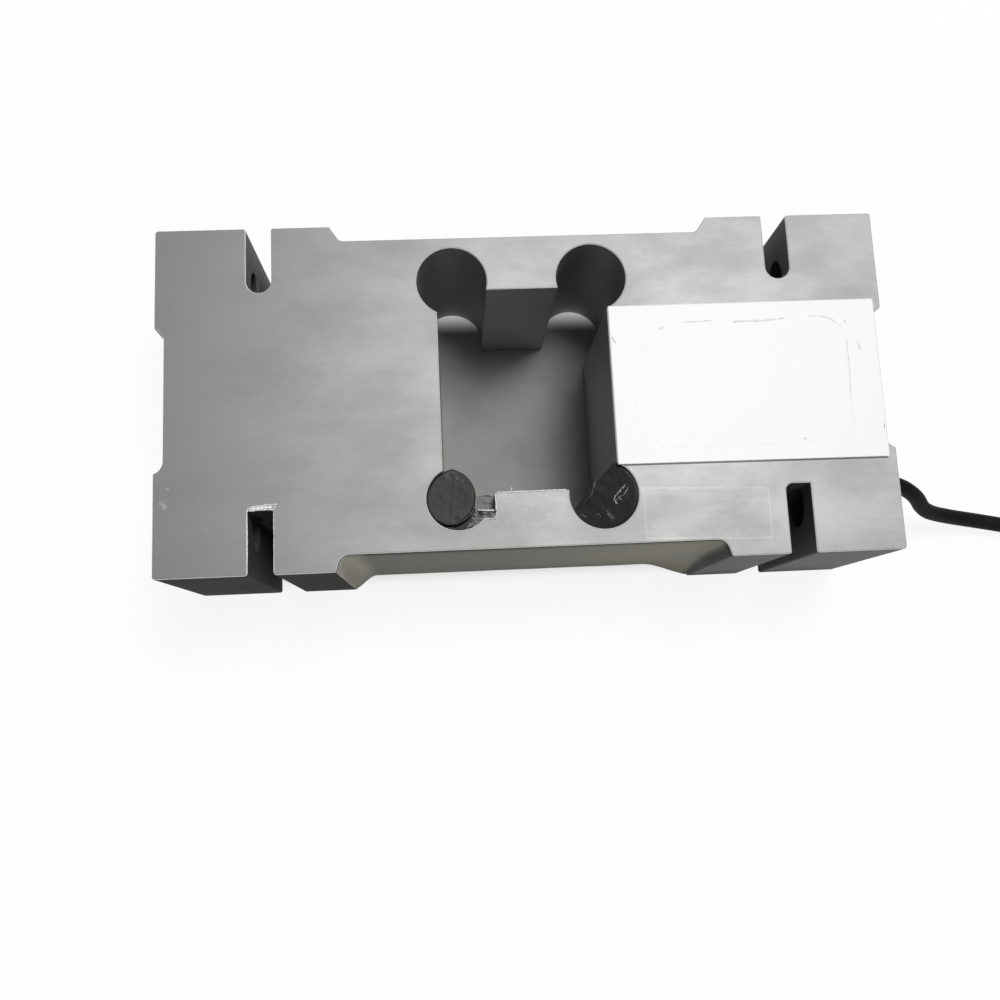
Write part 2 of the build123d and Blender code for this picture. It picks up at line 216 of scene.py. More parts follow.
    def between(self, value: Socket, low: float, high: float, soft: float) -> Socket:
        """Mask of 1 between two values: a rising smooth step times a falling one.

        Args:
            value: a length in metres.
            low: where the mask starts, in millimetres.
            high: where it ends.
            soft: half of each edge's width.
        Returns:
            The mask.
        """
        rise = self.ranged(value, (low - soft) * MM, (low + soft) * MM)
        fall = self.ranged(value, (high - soft) * MM, (high + soft) * MM, 1.0, 0.0)
        return self.times(rise, fall)

    def patch(self, x: Span, y: Span, z: Span, soft: float) -> Socket:
        """Mask of 1 in a box, in millimetres, with soft edges."""
        mask = self.times(self.band(Axis.X, *x, soft), self.band(Axis.Y, *y, soft))
        return self.times(mask, self.band(Axis.Z, *z, soft))

    def mix(self, share: Socket | float, a: Socket | Color, b: Socket | Color) -> Socket:
        """Turn one colour into another.

        Args:
            share: share of the second colour.
            a: first colour.
            b: second colour.
        Returns:
            The mixed colour.
        """
        node = self.tree.nodes.new("ShaderNodeMix")
        node.data_type = "RGBA"
        self.feed(node.inputs[0], share)
        self.feed(node.inputs[6], a)
        self.feed(node.inputs[7], b)
        return node.outputs[2]

    def stain(self, base: Socket, color: Color, mask: Socket, share: Socket | float) -> Socket:
        """Colour with another one laid over it in a share of a mask."""
        return self.mix(self.times(mask, share), base, color)

    def bump(self, height: Socket, depth_mm: float, strength: float = 1.0,
             after: Socket | None = None) -> Socket:
        """Bump of a real depth, on top of an earlier one.

        Args:
            height: the pattern.
            depth_mm: its full height in millimetres.
            strength: share of the bump.
            after: an earlier bump's normal.
        Returns:
            The bumped normal.
        """
        node = self.tree.nodes.new("ShaderNodeBump")
        node.inputs["Strength"].default_value = strength
        node.inputs["Distance"].default_value = depth_mm * MM
        self.tree.links.new(height, node.inputs["Height"])
        if after is not None:
            self.tree.links.new(after, node.inputs["Normal"])
        return node.outputs["Normal"]


@dataclass(frozen=True)
class MilledAluminium:
    """Milled aluminium, brushed along X, with faint stains and short fine scratches."""

    dark: Color = (0.288, 0.288, 0.286)
    light: Color = (0.3, 0.3, 0.298)
    metallic: float = 0.66
    roughness: float = 0.53
    stain: Color = (0.265, 0.265, 0.261)
    scratch: Color = (0.37, 0.37, 0.365)

    def ground(self, shade: Shade) -> tuple[Socket, Socket, Socket]:
        """Lay the brushed ground of the finish.

        Args:
            shade: the material being made.
        Returns:
            Its colour, roughness and normal.
        """
        streaks = shade.noise((55.0, 2600.0, 2600.0), 4.0, 0.6)
        broad = shade.noise((45.0, 80.0, 80.0), 5.0, 0.62)
        grain = shade.noise((700.0, 1300.0, 1300.0), 3.0, 0.6)
        cuts = shade.noise((160.0, 5200.0, 5200.0), 2.0, 0.5)
        base = shade.mix(shade.ranged(streaks, 0.3, 0.7), self.dark, self.light)
        base = shade.mix(shade.ranged(broad, 0.42, 0.75, 0.0, 0.35), base, self.stain)
        base = shade.mix(shade.ranged(grain, 0.3, 0.7, 0.0, 0.3), base, self.stain)
        base = shade.mix(shade.ranged(cuts, 0.68, 0.8, 0.0, 0.3), base, self.scratch)
        rough = shade.ranged(broad, 0.25, 0.75, self.roughness - 0.03, self.roughness + 0.05)
        normal = shade.bump(streaks, 0.003, 0.3)
        return base, rough, shade.bump(grain, 0.004, 0.3, normal)

    def dress(self, name: str) -> bpy.types.Material:
        """Make the material.

        Args:
            name: the material's name.
        Returns:
            The material.
        """
        shade = Shade(name)
        base, rough, normal = self.ground(shade)
        shade.set(Base_Color=base, Metallic=self.metallic, Roughness=rough, Normal=normal)
        return shade.material


@dataclass(frozen=True)
class BlockAluminium(MilledAluminium):
    """The block's own finish: rubbed patches and nicks on the front face, a painted highlight on the broken edges
    round it, painted shade on the left end, on the lower pads (lighter toward the right as painted light) and in
    the slots, which are also rougher, painted light on the walls in the window, and a painted shadow under the
    label's lower edge."""

    # painted shade on the lower pads, lighter toward the right as painted light
    side: Color = (0.03, 0.0295, 0.027)
    pad_painted_light: Color = (0.36, 0.355, 0.338)
    window_wall_painted_light: Color = (0.37, 0.37, 0.363)
    shaded_end: Color = (0.2, 0.2, 0.198)
    # painted shade in the slots
    left_slot_painted_shade: Color = (0.04, 0.04, 0.039)
    right_slot_painted_shade: Color = (0.085, 0.085, 0.083)
    upper_slot_painted_shade: Color = (0.19, 0.188, 0.178)
    rubbed: Color = (0.46, 0.46, 0.455)
    nick: Color = (0.85, 0.85, 0.84)
    # colour of the painted highlight on the broken edges
    rim: Color = (0.8, 0.8, 0.79)
    label_edge_shadow: Color = (0.07, 0.07, 0.068)
    brushed_edge: Box = ((25.9, 55.9), (-36.45, -24.12))
    brushed_patch: Box = ((26.3, 55.5), (-36.05, -24.5))
    brushed_lean: float = 0.033
    label_shadow_box: Box = ((20.5, 85.2), (-19.55, -19.0))
    label_shadow_lean: float = 0.0065
    window: Box = ((-27.0, 27.0), (-36.0, 37.0))
    darker_end: Span = (-0.095, -0.015)
    pad_faces: Span = (-0.0417, -0.0414)
    slot_starts: Span = (-65.95, 60.05)
    slot_reach: Span = (-0.5, 6.4)
    upper_slots: Span = (24.6, 43.0)
    lower_slots: Span = (-43.0, -24.6)
    front: Span = (47.9, 49.0)
    full_width: Span = (-1.0, 49.0)
    rim_foot: Span = (0.04772, 0.04776)
    rim_top: Span = (0.04796, 0.047985)
    nicks: tuple[Mark, ...] = (
        ((-84.3, -83.9), (-21.3, -20.9), 0.8), ((-85.2, -84.4), (-25.6, -24.7), 0.65),
        ((-85.9, -85.3), (-24.6, -24.2), 0.5), ((-84.6, -84.3), (-23.9, -23.6), 0.4))
    rubs: tuple[Mark, ...] = (
        ((-77.0, -74.0), (-32.0, -30.6), 0.5), ((43.6, 48.4), (-38.4, -36.0), 1.0),
        ((57.5, 64.0), (-34.0, -33.0), 0.5), ((2.0, 5.6), (-31.0, -26.4), 0.35),
        ((-8.0, 8.0), (-33.0, -25.4), 0.25), ((-60.0, -20.0), (-6.0, 20.0), 0.08))

    @staticmethod
    def leaning_box(shade: Shade, box: Box, lean: float, soft_x: float, soft_y: float) -> Socket:
        """Mask of 1 in a box on the front face whose long edges fall toward the right.

        Args:
            shade: the material being made.
            box: the box along X and Y, in millimetres.
            lean: how far the edges fall in a step along X.
            soft_x: half of the side edges' width.
            soft_y: half of the long edges' width.
        Returns:
            The mask.
        """
        drift = shade.sums("ADD", shade.axes[1], shade.times(shade.axes[0], lean))
        return shade.times(shade.band(Axis.X, *box[0], soft_x), shade.between(drift, *box[1], soft_y))

    def mark_face(self, shade: Shade, base: Socket, chips: Socket) -> Socket:
        """Lay the front face's marks: a rubbed rectangle with a brighter border, nicks and rubs as soft boxes
        broken up by noise, and a painted shadow along the label's lower edge.

        Args:
            shade: the material being made.
            base: the colour under the marks.
            chips: the noise that breaks them up.
        Returns:
            The marked colour.
        """
        level = shade.band(Axis.Z, *self.front, 0.03)
        fine = shade.noise((90.0, 4200.0, 4200.0), 3.0, 0.6)
        outer = self.leaning_box(shade, self.brushed_edge, self.brushed_lean, 0.14, 0.14)
        inner = self.leaning_box(shade, self.brushed_patch, self.brushed_lean, 0.2, 0.2)
        line = shade.times(shade.sums("SUBTRACT", outer, inner, True), level)
        brushed = shade.ranged(fine, 0.45, 0.8, 0.0, 0.16)
        base = shade.stain(base, self.rubbed, shade.times(inner, level), brushed)
        base = shade.stain(base, self.rubbed, line, shade.ranged(chips, 0.2, 0.8, 0.05, 0.42))
        for x, y, share in self.nicks:
            spot = shade.patch(x, y, self.front, 0.45)
            base = shade.stain(base, self.nick, spot, shade.ranged(chips, 0.3, 0.5, 0.2, share))
        for x, y, share in self.rubs:
            spot = shade.patch(x, y, self.front, 0.7)
            base = shade.stain(base, self.rubbed, spot, shade.ranged(chips, 0.5, 0.75, 0.0, share))
        # painted shadow under the label's lower edge
        label_edge_shadow = self.leaning_box(shade, self.label_shadow_box, self.label_shadow_lean, 0.1, 0.06)
        return shade.stain(base, self.label_edge_shadow, label_edge_shadow, level)

    def paint_side_shade(self, shade: Shade, base: Socket) -> tuple[Socket, Socket]:
        """Paint shade on the lower pads, from dark at the left to lighter at the right as painted light, and in each
        slot, and paint light on the window's walls, all below the broken edge round the front face.

        Args:
            shade: the material being made.
            base: the colour of the other faces.
        Returns:
            The colour, and the mask of the shaded, duller faces.
        """
        below = shade.ranged(shade.axes[2], *self.rim_foot, 1.0, 0.0)
        # painted shade on the pads and in the slots; the same mask makes them rougher and less metallic
        dull_and_shaded = shade.ranged(shade.axes[1], *self.pad_faces, 1.0, 0.0)
        painted_pad_slot_shade = shade.mix(shade.ranged(shade.axes[0], -0.02, 0.07, 0.0, 0.6), self.side, self.pad_painted_light)
        upper = (self.upper_slots, (self.upper_slot_painted_shade, self.upper_slot_painted_shade))
        lower = (self.lower_slots, (self.left_slot_painted_shade, self.right_slot_painted_shade))
        for reach, walls in (upper, lower):
            for start, wall in zip(self.slot_starts, walls):
                across = (start + self.slot_reach[0], start + self.slot_reach[1])
                slot = shade.patch(across, reach, self.full_width, 0.05)
                painted_pad_slot_shade = shade.mix(slot, painted_pad_slot_shade, wall)
                dull_and_shaded = shade.most(dull_and_shaded, slot)
        dull_and_shaded = shade.times(dull_and_shaded, below)
        # painted light on the walls in the window
        window_walls = shade.times(shade.patch(*self.window, self.full_width, 0.3), below)
        base = shade.mix(window_walls, base, self.window_wall_painted_light)
        return shade.mix(dull_and_shaded, base, painted_pad_slot_shade), dull_and_shaded

    def dress(self, name: str) -> bpy.types.Material:
        """Make the material.

        Args:
            name: the material's name.
        Returns:
            The material.
        """
        shade = Shade(name)
        base, rough, normal = self.ground(shade)
        base = shade.mix(shade.ranged(shade.axes[0], *self.darker_end, 0.52, 0.0), base, self.shaded_end)
        chips = shade.noise(900.0, 3.0, 0.6)
        base, dull_and_shaded = self.paint_side_shade(shade, self.mark_face(shade, base, chips))
        # painted highlight on the broken edges round the front face
        rim = shade.ranged(shade.axes[2], *self.rim_foot)
        rim = shade.times(rim, shade.ranged(shade.axes[2], *self.rim_top, 1.0, 0.0))
        base = shade.stain(base, self.rim, rim, shade.ranged(chips, 0.2, 0.5, 0.55, 1.0))
        rough = shade.sums("ADD", rough, shade.times(dull_and_shaded, 0.36))
        metallic = shade.ranged(dull_and_shaded, 0.0, 1.0, self.metallic, 0.05)
        metallic = shade.sums("SUBTRACT", metallic, shade.times(rim, 0.5))
        shade.set(Base_Color=base, Metallic=metallic, Roughness=rough, Normal=normal)
        return shade.material


@dataclass(frozen=True)
class BurrGlint:
    """Near-white metal of the burrs: partly torn bright metal, partly a painted highlight along the edges."""

    color: Color = (0.92, 0.92, 0.91)
    dark: Color = (0.66, 0.66, 0.65)

    def dress(self, name: str) -> bpy.types.Material:
        """Make the material.

        Args:
            name: the material's name.
        Returns:
            The material.
        """
        shade = Shade(name)
        grain = shade.noise(4200.0, 3.0)
        color = shade.mix(shade.ranged(grain, 0.3, 0.7), self.dark, self.color)
        shade.set(Base_Color=color, Metallic=0.25)
        shade.set(Roughness=shade.ranged(grain, 0.3, 0.7, 0.35, 0.55), Normal=shade.bump(grain, 0.03, 0.6))
        return shade.material


@dataclass(frozen=True)
class Elastomer:
    """Rubber, cable jacket or cured compound, with a fine grain and broad swirls of a paler tone."""

    color: Color
    pale: Color
    roughness: float
    grain: float = 1800.0
    grain_depth: float = 0.02
    swirl: float = 90.0
    gloss: float = 0.5

    def dress(self, name: str) -> bpy.types.Material:
        """Make the material.

        Args:
            name: the material's name.
        Returns:
            The material.
        """
        shade = Shade(name)
        grain = shade.noise(self.grain, 3.0)
        swirl = shade.noise(self.swirl, 4.0, 0.6, 1.2)
        color = shade.mix(shade.ranged(swirl, 0.42, 0.75), self.color, self.pale)
        rough = shade.ranged(swirl, 0.3, 0.7, self.roughness - 0.06, self.roughness + 0.06)
        shade.set(Base_Color=color, Roughness=rough, Normal=shade.bump(grain, self.grain_depth, 0.5))
        shade.set(Specular_IOR_Level=self.gloss)
        return shade.material


@dataclass(frozen=True)
class WhiteFilm:
    """White satin label film with a faint fibre and specks."""

    color: Color = (0.89, 0.895, 0.9)
    fibre: Color = (0.84, 0.845, 0.85)
    speck: Color = (0.45, 0.44, 0.42)

    def dress(self, name: str) -> bpy.types.Material:
        """Make the material.

        Args:
            name: the material's name.
        Returns:
            The material.
        """
        shade = Shade(name)
        fibre = shade.noise(520.0, 4.0)
        dots = shade.ranged(shade.cells(95.0), 0.0, 0.035, 1.0, 0.0)
        rare = shade.ranged(shade.noise(60.0, 1.0), 0.6, 0.7)
        color = shade.mix(shade.ranged(fibre, 0.3, 0.7, 0.0, 0.12), self.color, self.fibre)
        color = shade.stain(color, self.speck, dots, rare)
        shade.set(Base_Color=color, Roughness=0.46, Normal=shade.bump(fibre, 0.01, 0.4))
        return shade.material


@dataclass(frozen=True)
class CreamCoat:
    """Smooth satin sealing coat in the lower recess, greenish grey, with small pits; painted light makes it paler
    toward the right and in a scratched band at its left end, and painted shade makes its right end and its edge at
    the face near black.
    """

    color: Color = (0.15, 0.143, 0.118)
    pale: Color = (0.32, 0.306, 0.252)
    left_light_and_scuff: Color = (0.56, 0.54, 0.465)
    pit: Color = (0.08, 0.078, 0.066)
    edge: Color = (0.012, 0.012, 0.01)

    def dress(self, name: str) -> bpy.types.Material:
        """Make the material.

        Args:
            name: the material's name.
        Returns:
            The material.
        """
        shade = Shade(name)
        cloud = shade.noise((25.0, 60.0, 60.0), 4.0)
        scratch = shade.noise((800.0, 800.0, 45.0), 4.0, 0.65, 0.3)
        pits = shade.cells(420.0)
        # painted light: paler toward the right, with a cloudy tone over it
        drift = shade.ranged(shade.axes[0], -0.02, 0.045, 0.0, 0.6)
        drift = shade.sums("ADD", shade.ranged(cloud, 0.35, 0.7, 0.0, 0.4), drift)
        color = shade.mix(drift, self.color, self.pale)
        # pale band at the left end: painted light, with scratches over it
        left = shade.band(Axis.X, -48.0, -40.5, 2.5)
        color = shade.stain(color, self.left_light_and_scuff, left, 0.6)
        color = shade.stain(color, self.left_light_and_scuff, left, shade.ranged(scratch, 0.5, 0.72, 0.0, 0.7))
        color = shade.mix(shade.ranged(pits, 0.0, 0.12, 0.35, 0.0), color, self.pit)
        # painted shade: near black along the right end and along the edge at the face
        edges = shade.most(shade.band(Axis.X, 44.4, 47.0, 0.7), shade.band(Axis.Z, 47.4, 48.0, 0.15))
        color = shade.stain(color, self.edge, edges, 0.9)
        shade.set(Base_Color=color, Roughness=shade.ranged(cloud, 0.3, 0.7, 0.66, 0.78))
        shade.set(Normal=shade.bump(cloud, 0.2, 0.5))
        return shade.material


@dataclass(frozen=True)
class SmallPart:
    """Finish of a small part: two tones, and a grain of its own scale and depth."""

    low: Color
    high: Color
    roughness: float
    metallic: float = 0.0
    scale: tuple[float, float, float] = (900.0, 900.0, 900.0)
    depth: float = 0.01

    def dress(self, name: str) -> bpy.types.Material:
        """Make the material.

        Args:
            name: the material's name.
        Returns:
            The material.
        """
        shade = Shade(name)
        grain = shade.noise(self.scale, 3.0)
        color = shade.mix(shade.ranged(grain, 0.35, 0.65), self.low, self.high)
        shade.set(Base_Color=color, Metallic=self.metallic)
        shade.set(Roughness=self.roughness, Normal=shade.bump(grain, self.depth, 0.5))
        return shade.material


def ripple(points: np.ndarray, wavelength: float, seed: int, octaves: int = 3) -> np.ndarray:
    """Smooth random value from -1 to 1 at each point: a sum of sines in random directions, each octave half as
    long and half as strong as the one before.

    Args:
        points: any array with a last axis of coordinates, in millimetres.
        wavelength: longest wave in millimetres.
        seed: number that picks the directions and phases.
        octaves: number of octaves.
    Returns:
        Array of the points' shape without its last axis.
    """
    source = np.random.default_rng(seed)
    total = np.zeros(points.shape[:-1])
    weight = 0.0
    for octave in range(octaves):
        for _ in range(5):
            way = source.normal(size=points.shape[-1])
            way *= 2 * np.pi * 2 ** octave / (wavelength * np.linalg.norm(way)) * source.uniform(0.7, 1.3)
            total += np.sin(points @ way + source.uniform(0, 2 * np.pi)) / 2 ** octave
        weight += 2.6 / 2 ** octave
    return np.clip(total / weight, -1, 1)


def solid_mesh(name: str, points: np.ndarray, faces: Sequence[np.ndarray],
               smooth: bool = True) -> bpy.types.Mesh:
    """Mesh from points in millimetres and arrays of faces, turned outwards by the sign of its volume.

    Args:
        name: the mesh's name.
        points: array (n, 3) in millimetres.
        faces: arrays of three or four indices a row.
        smooth: whether the faces are shaded smooth.
    Returns:
        The mesh.
    """
    halves = [f[:, [0, 2, 3]] for f in faces if f.shape[1] == 4]
    triangles = np.concatenate([f[:, [0, 1, 2]] for f in faces] + halves)
    a, b, c = (points[triangles[:, i]] for i in range(3))
    outward = np.einsum("ij,ij->i", a, np.cross(b, c)).sum() > 0
    rows = [row for f in faces for row in (f if outward else f[:, ::-1]).tolist()]
    mesh = bpy.data.meshes.new(name)
    mesh.from_pydata((points * MM).tolist(), [], rows)
    mesh.polygons.foreach_set("use_smooth", np.full(len(mesh.polygons), smooth))
    mesh.update()
    return mesh


def ring_stack(name: str, rings: np.ndarray, looped: bool = False) -> bpy.types.Mesh:
    """Closed skin over a stack of closed rings: quads join each ring to the next, and either the last ring joins
    the first, or each end closes on its ring's mean point.

    Args:
        name: the mesh's name.
        rings: array (rings, points in a ring, 3) in millimetres.
        looped: whether the stack runs round into itself.
    Returns:
        The mesh.
    """
    count, size = rings.shape[:2]
    index = np.arange(count * size).reshape(count, size)
    beside = np.roll(index, -1, axis=1)
    points = rings.reshape(-1, 3)
    if looped:
        above, above_beside = np.roll(index, -1, axis=0), np.roll(beside, -1, axis=0)
        quads = np.stack([index, beside, above_beside, above], -1).reshape(-1, 4)
        return solid_mesh(name, points, [quads])
    quads = np.stack([index[:-1], beside[:-1], beside[1:], index[1:]], -1).reshape(-1, 4)
    points = np.concatenate([points, rings[:1].mean(1), rings[-1:].mean(1)])
    first = np.full(size, count * size)
    low = np.stack([first, beside[0], index[0]], -1)
    high = np.stack([first + 1, index[-1], beside[-1]], -1)
    return solid_mesh(name, points, [quads, low, high])


def slab(name: str, top: np.ndarray, bottom: np.ndarray, smooth: bool = True) -> bpy.types.Mesh:
    """Closed slab between two grids of the same shape, joined round their border.

    Args:
        name: the mesh's name.
        top: array (rows, columns, 3) in millimetres.
        bottom: array of the same shape.
        smooth: whether the faces are shaded smooth.
    Returns:
        The mesh.
    """
    rows, columns = top.shape[:2]
    index = np.arange(rows * columns).reshape(rows, columns)
    upper = np.stack([index[:-1, :-1], index[:-1, 1:], index[1:, 1:], index[1:, :-1]], -1).reshape(-1, 4)
    lower = upper[:, ::-1] + rows * columns
    border = np.concatenate([index[0], index[1:, -1], index[-1, -2::-1], index[-2:0:-1, 0]])
    ahead = np.roll(border, -1)
    wall = np.stack([border, border + rows * columns, ahead + rows * columns, ahead], -1)
    points = np.concatenate([top.reshape(-1, 3), bottom.reshape(-1, 3)])
    return solid_mesh(name, points, [upper, lower, wall], smooth)


def tube_rings(path: np.ndarray, radius: np.ndarray, sides: int) -> np.ndarray:
    """Rings of a round tube along a path: at each point a circle in the plane across the path's direction.

    Args:
        path: array (n, 3) in millimetres.
        radius: radius at each point.
        sides: points in a ring.
    Returns:
        Array (n, sides, 3) in millimetres.
    """
    along = np.gradient(path, axis=0)
    along /= np.linalg.norm(along, axis=1, keepdims=True)
    up = np.array([0.0, 0.0, 1.0])
    across = np.cross(along, up)
    across /= np.linalg.norm(across, axis=1, keepdims=True)
    lift = np.cross(across, along)
    angle = np.linspace(0, 2 * np.pi, sides, endpoint=False)
    circle = across[:, None] * np.cos(angle)[None, :, None] + lift[:, None] * np.sin(angle)[None, :, None]
    return path[:, None] + circle * radius[:, None, None]


def place(mesh: bpy.types.Mesh, material: bpy.types.Material, slot: str, *nodes: str) -> bpy.types.Object:
    """Put a mesh in the scene as a piece on the cell's body.

    Args:
        mesh: the finished mesh.
        material: its material.
        slot: the record's material slot; not used.
        nodes: CAD nodes that the piece stands for.
    Returns:
        The piece.
    """
    piece = bpy.data.objects.new(mesh.name, mesh)
    bpy.context.scene.collection.objects.link(piece)
    mesh.materials.clear()
    mesh.materials.append(material)
    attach(piece, "root")
    if nodes:
        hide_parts(*nodes)
    LOG.info("%s: %d faces, for %s", piece.name, len(mesh.polygons), ", ".join(nodes) or "detail")
    return piece


def merged_copy(node: str, name: str) -> bpy.types.Mesh:
    """Copy of a CAD node's mesh with its doubled corners merged.

    Args:
        node: the CAD node.
        name: the new mesh's name.
    Returns:
        The copy.
    """
    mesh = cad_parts[node].data.copy()
    mesh.name = name
    work = bmesh.new()
    work.from_mesh(mesh)
    bmesh.ops.remove_doubles(work, verts=work.verts, dist=1e-6)
    bmesh.ops.dissolve_degenerate(work, edges=work.edges, dist=1e-6)
    bmesh.ops.dissolve_limit(work, angle_limit=0.002, verts=work.verts, edges=work.edges)
    work.to_mesh(mesh)
    work.free()
    return mesh


@dataclass
class MachinedBlock:
    """The aluminium block with broken edges."""

    edge_break: float = 0.26
    break_angle: float = 35.0
    sharp_angle: float = 28.0
    finish: BlockAluminium = field(default_factory=BlockAluminium)

    def build(self) -> None:
        """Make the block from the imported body."""
        mesh = merged_copy("body", "machined_block")
        piece = place(mesh, self.finish.dress("block_aluminium"), "aluminium_block", "body")
        bevel = piece.modifiers.new("broken_edges", "BEVEL")
        bevel.width = self.edge_break * MM
        bevel.segments = 2
        bevel.limit_method = "ANGLE"
        bevel.angle_limit = np.radians(self.break_angle)
        bevel.use_clamp_overlap = False
        bevel.harden_normals = False
        mesh.polygons.foreach_set("use_smooth", np.full(len(mesh.polygons), True))
        mesh.set_sharp_from_angle(angle=np.radians(self.sharp_angle))


@dataclass
class TappedThreads:
    """Threads of the eight tapped holes in the end pads."""

    bore: float = 5.08
    crest: float = 4.6
    pitch: float = 1.75
    depth: float = 20.6
    start: float = 0.6
    half_length: float = 87.5
    spacing: Span = (59.6, 58.4)
    spacing_z: float = 25.0
    middle: float = 24.0
    lead_in: float = 1.2
    flank: float = 1.6
    shell_gap: float = 0.01
    rows_a_pitch: int = 8
    sides: int = 40
    # dark, dull finish: painted shade on the threads inside the bores
    finish: MilledAluminium = MilledAluminium(
        dark=(0.06, 0.06, 0.058), light=(0.07, 0.07, 0.068), metallic=0.2, roughness=0.8,
        stain=(0.055, 0.055, 0.053), scratch=(0.08, 0.08, 0.078))

    def sleeve(self, x_face: float, side: int, y: float, z: float) -> np.ndarray:
        """Rings of one thread: along X the inner wall's radius is a triangle wave of the distance over the pitch
        less the turn's share, between crest and bore, and the way back is the plain bore.

        Args:
            x_face: place of the pad's face.
            side: -1 for the left end and 1 for the right.
            y: the hole's centre.
            z: the hole's centre.
        Returns:
            Array of closed rings, down the thread and back behind it.
        """
        end = self.start + self.depth
        along = np.linspace(self.start, end, int(self.depth / self.pitch * self.rows_a_pitch))
        turn = np.linspace(0, 2 * np.pi, self.sides, endpoint=False)
        wave = (along[:, None] / self.pitch - turn[None] / (2 * np.pi)) % 1.0
        fade = np.clip(np.minimum(along - self.start, end - along) / self.lead_in, 0, 1)[:, None]
        tooth = np.clip(self.flank * (1 - np.abs(2 * wave - 1)), 0.0, 1.0)
        radius = self.bore - (self.bore - self.crest) * fade * tooth
        x = np.broadcast_to(x_face - side * along[:, None], radius.shape)
        inner = np.stack([x, y + radius * np.cos(turn), z + radius * np.sin(turn)], -1)
        shell = inner[::-1].copy()
        shell[..., 1] = y + (self.bore + self.shell_gap) * np.cos(turn)
        shell[..., 2] = z + (self.bore + self.shell_gap) * np.sin(turn)
        return np.concatenate([inner, shell])

    def build(self) -> None:
        """Make one piece of four threads for each end."""
        material = self.finish.dress("thread_painted_shade")
        for side, spacing, name in ((-1, self.spacing[0], "threads_left"), (1, self.spacing[1], "threads_right")):
            parts = []
            for y in (-spacing / 2, spacing / 2):
                for z in (self.middle - self.spacing_z / 2, self.middle + self.spacing_z / 2):
                    parts.append(ring_stack(name, self.sleeve(side * self.half_length, side, y, z), looped=True))
            place(joined(name, parts), material, "aluminium_block")


def joined(name: str, meshes: Sequence[bpy.types.Mesh]) -> bpy.types.Mesh:
    """One mesh of several, which are removed.

    Args:
        name: the new mesh's name.
        meshes: the meshes to join.
    Returns:
        The joined mesh.
    """
    points, rows, base = [], [], 0
    for mesh in meshes:
        flat = np.empty(len(mesh.vertices) * 3)
        mesh.vertices.foreach_get("co", flat)
        points.append(flat.reshape(-1, 3))
        rows += [[base + i for i in p.vertices] for p in mesh.polygons]
        base += len(mesh.vertices)
        bpy.data.meshes.remove(mesh)
    whole = bpy.data.meshes.new(name)
    whole.from_pydata(np.concatenate(points).tolist(), [], rows)
    whole.polygons.foreach_set("use_smooth", np.full(len(whole.polygons), True))
    whole.update()
    return whole


@dataclass(frozen=True)
class Burr:
    """One ragged burr along an edge of the front face: its corner points, thickness and unevenness."""

    corners: Line
    half_width: float = 0.16
    seed: int = 1
    rough: float = 0.6
    wander: float = 0.08


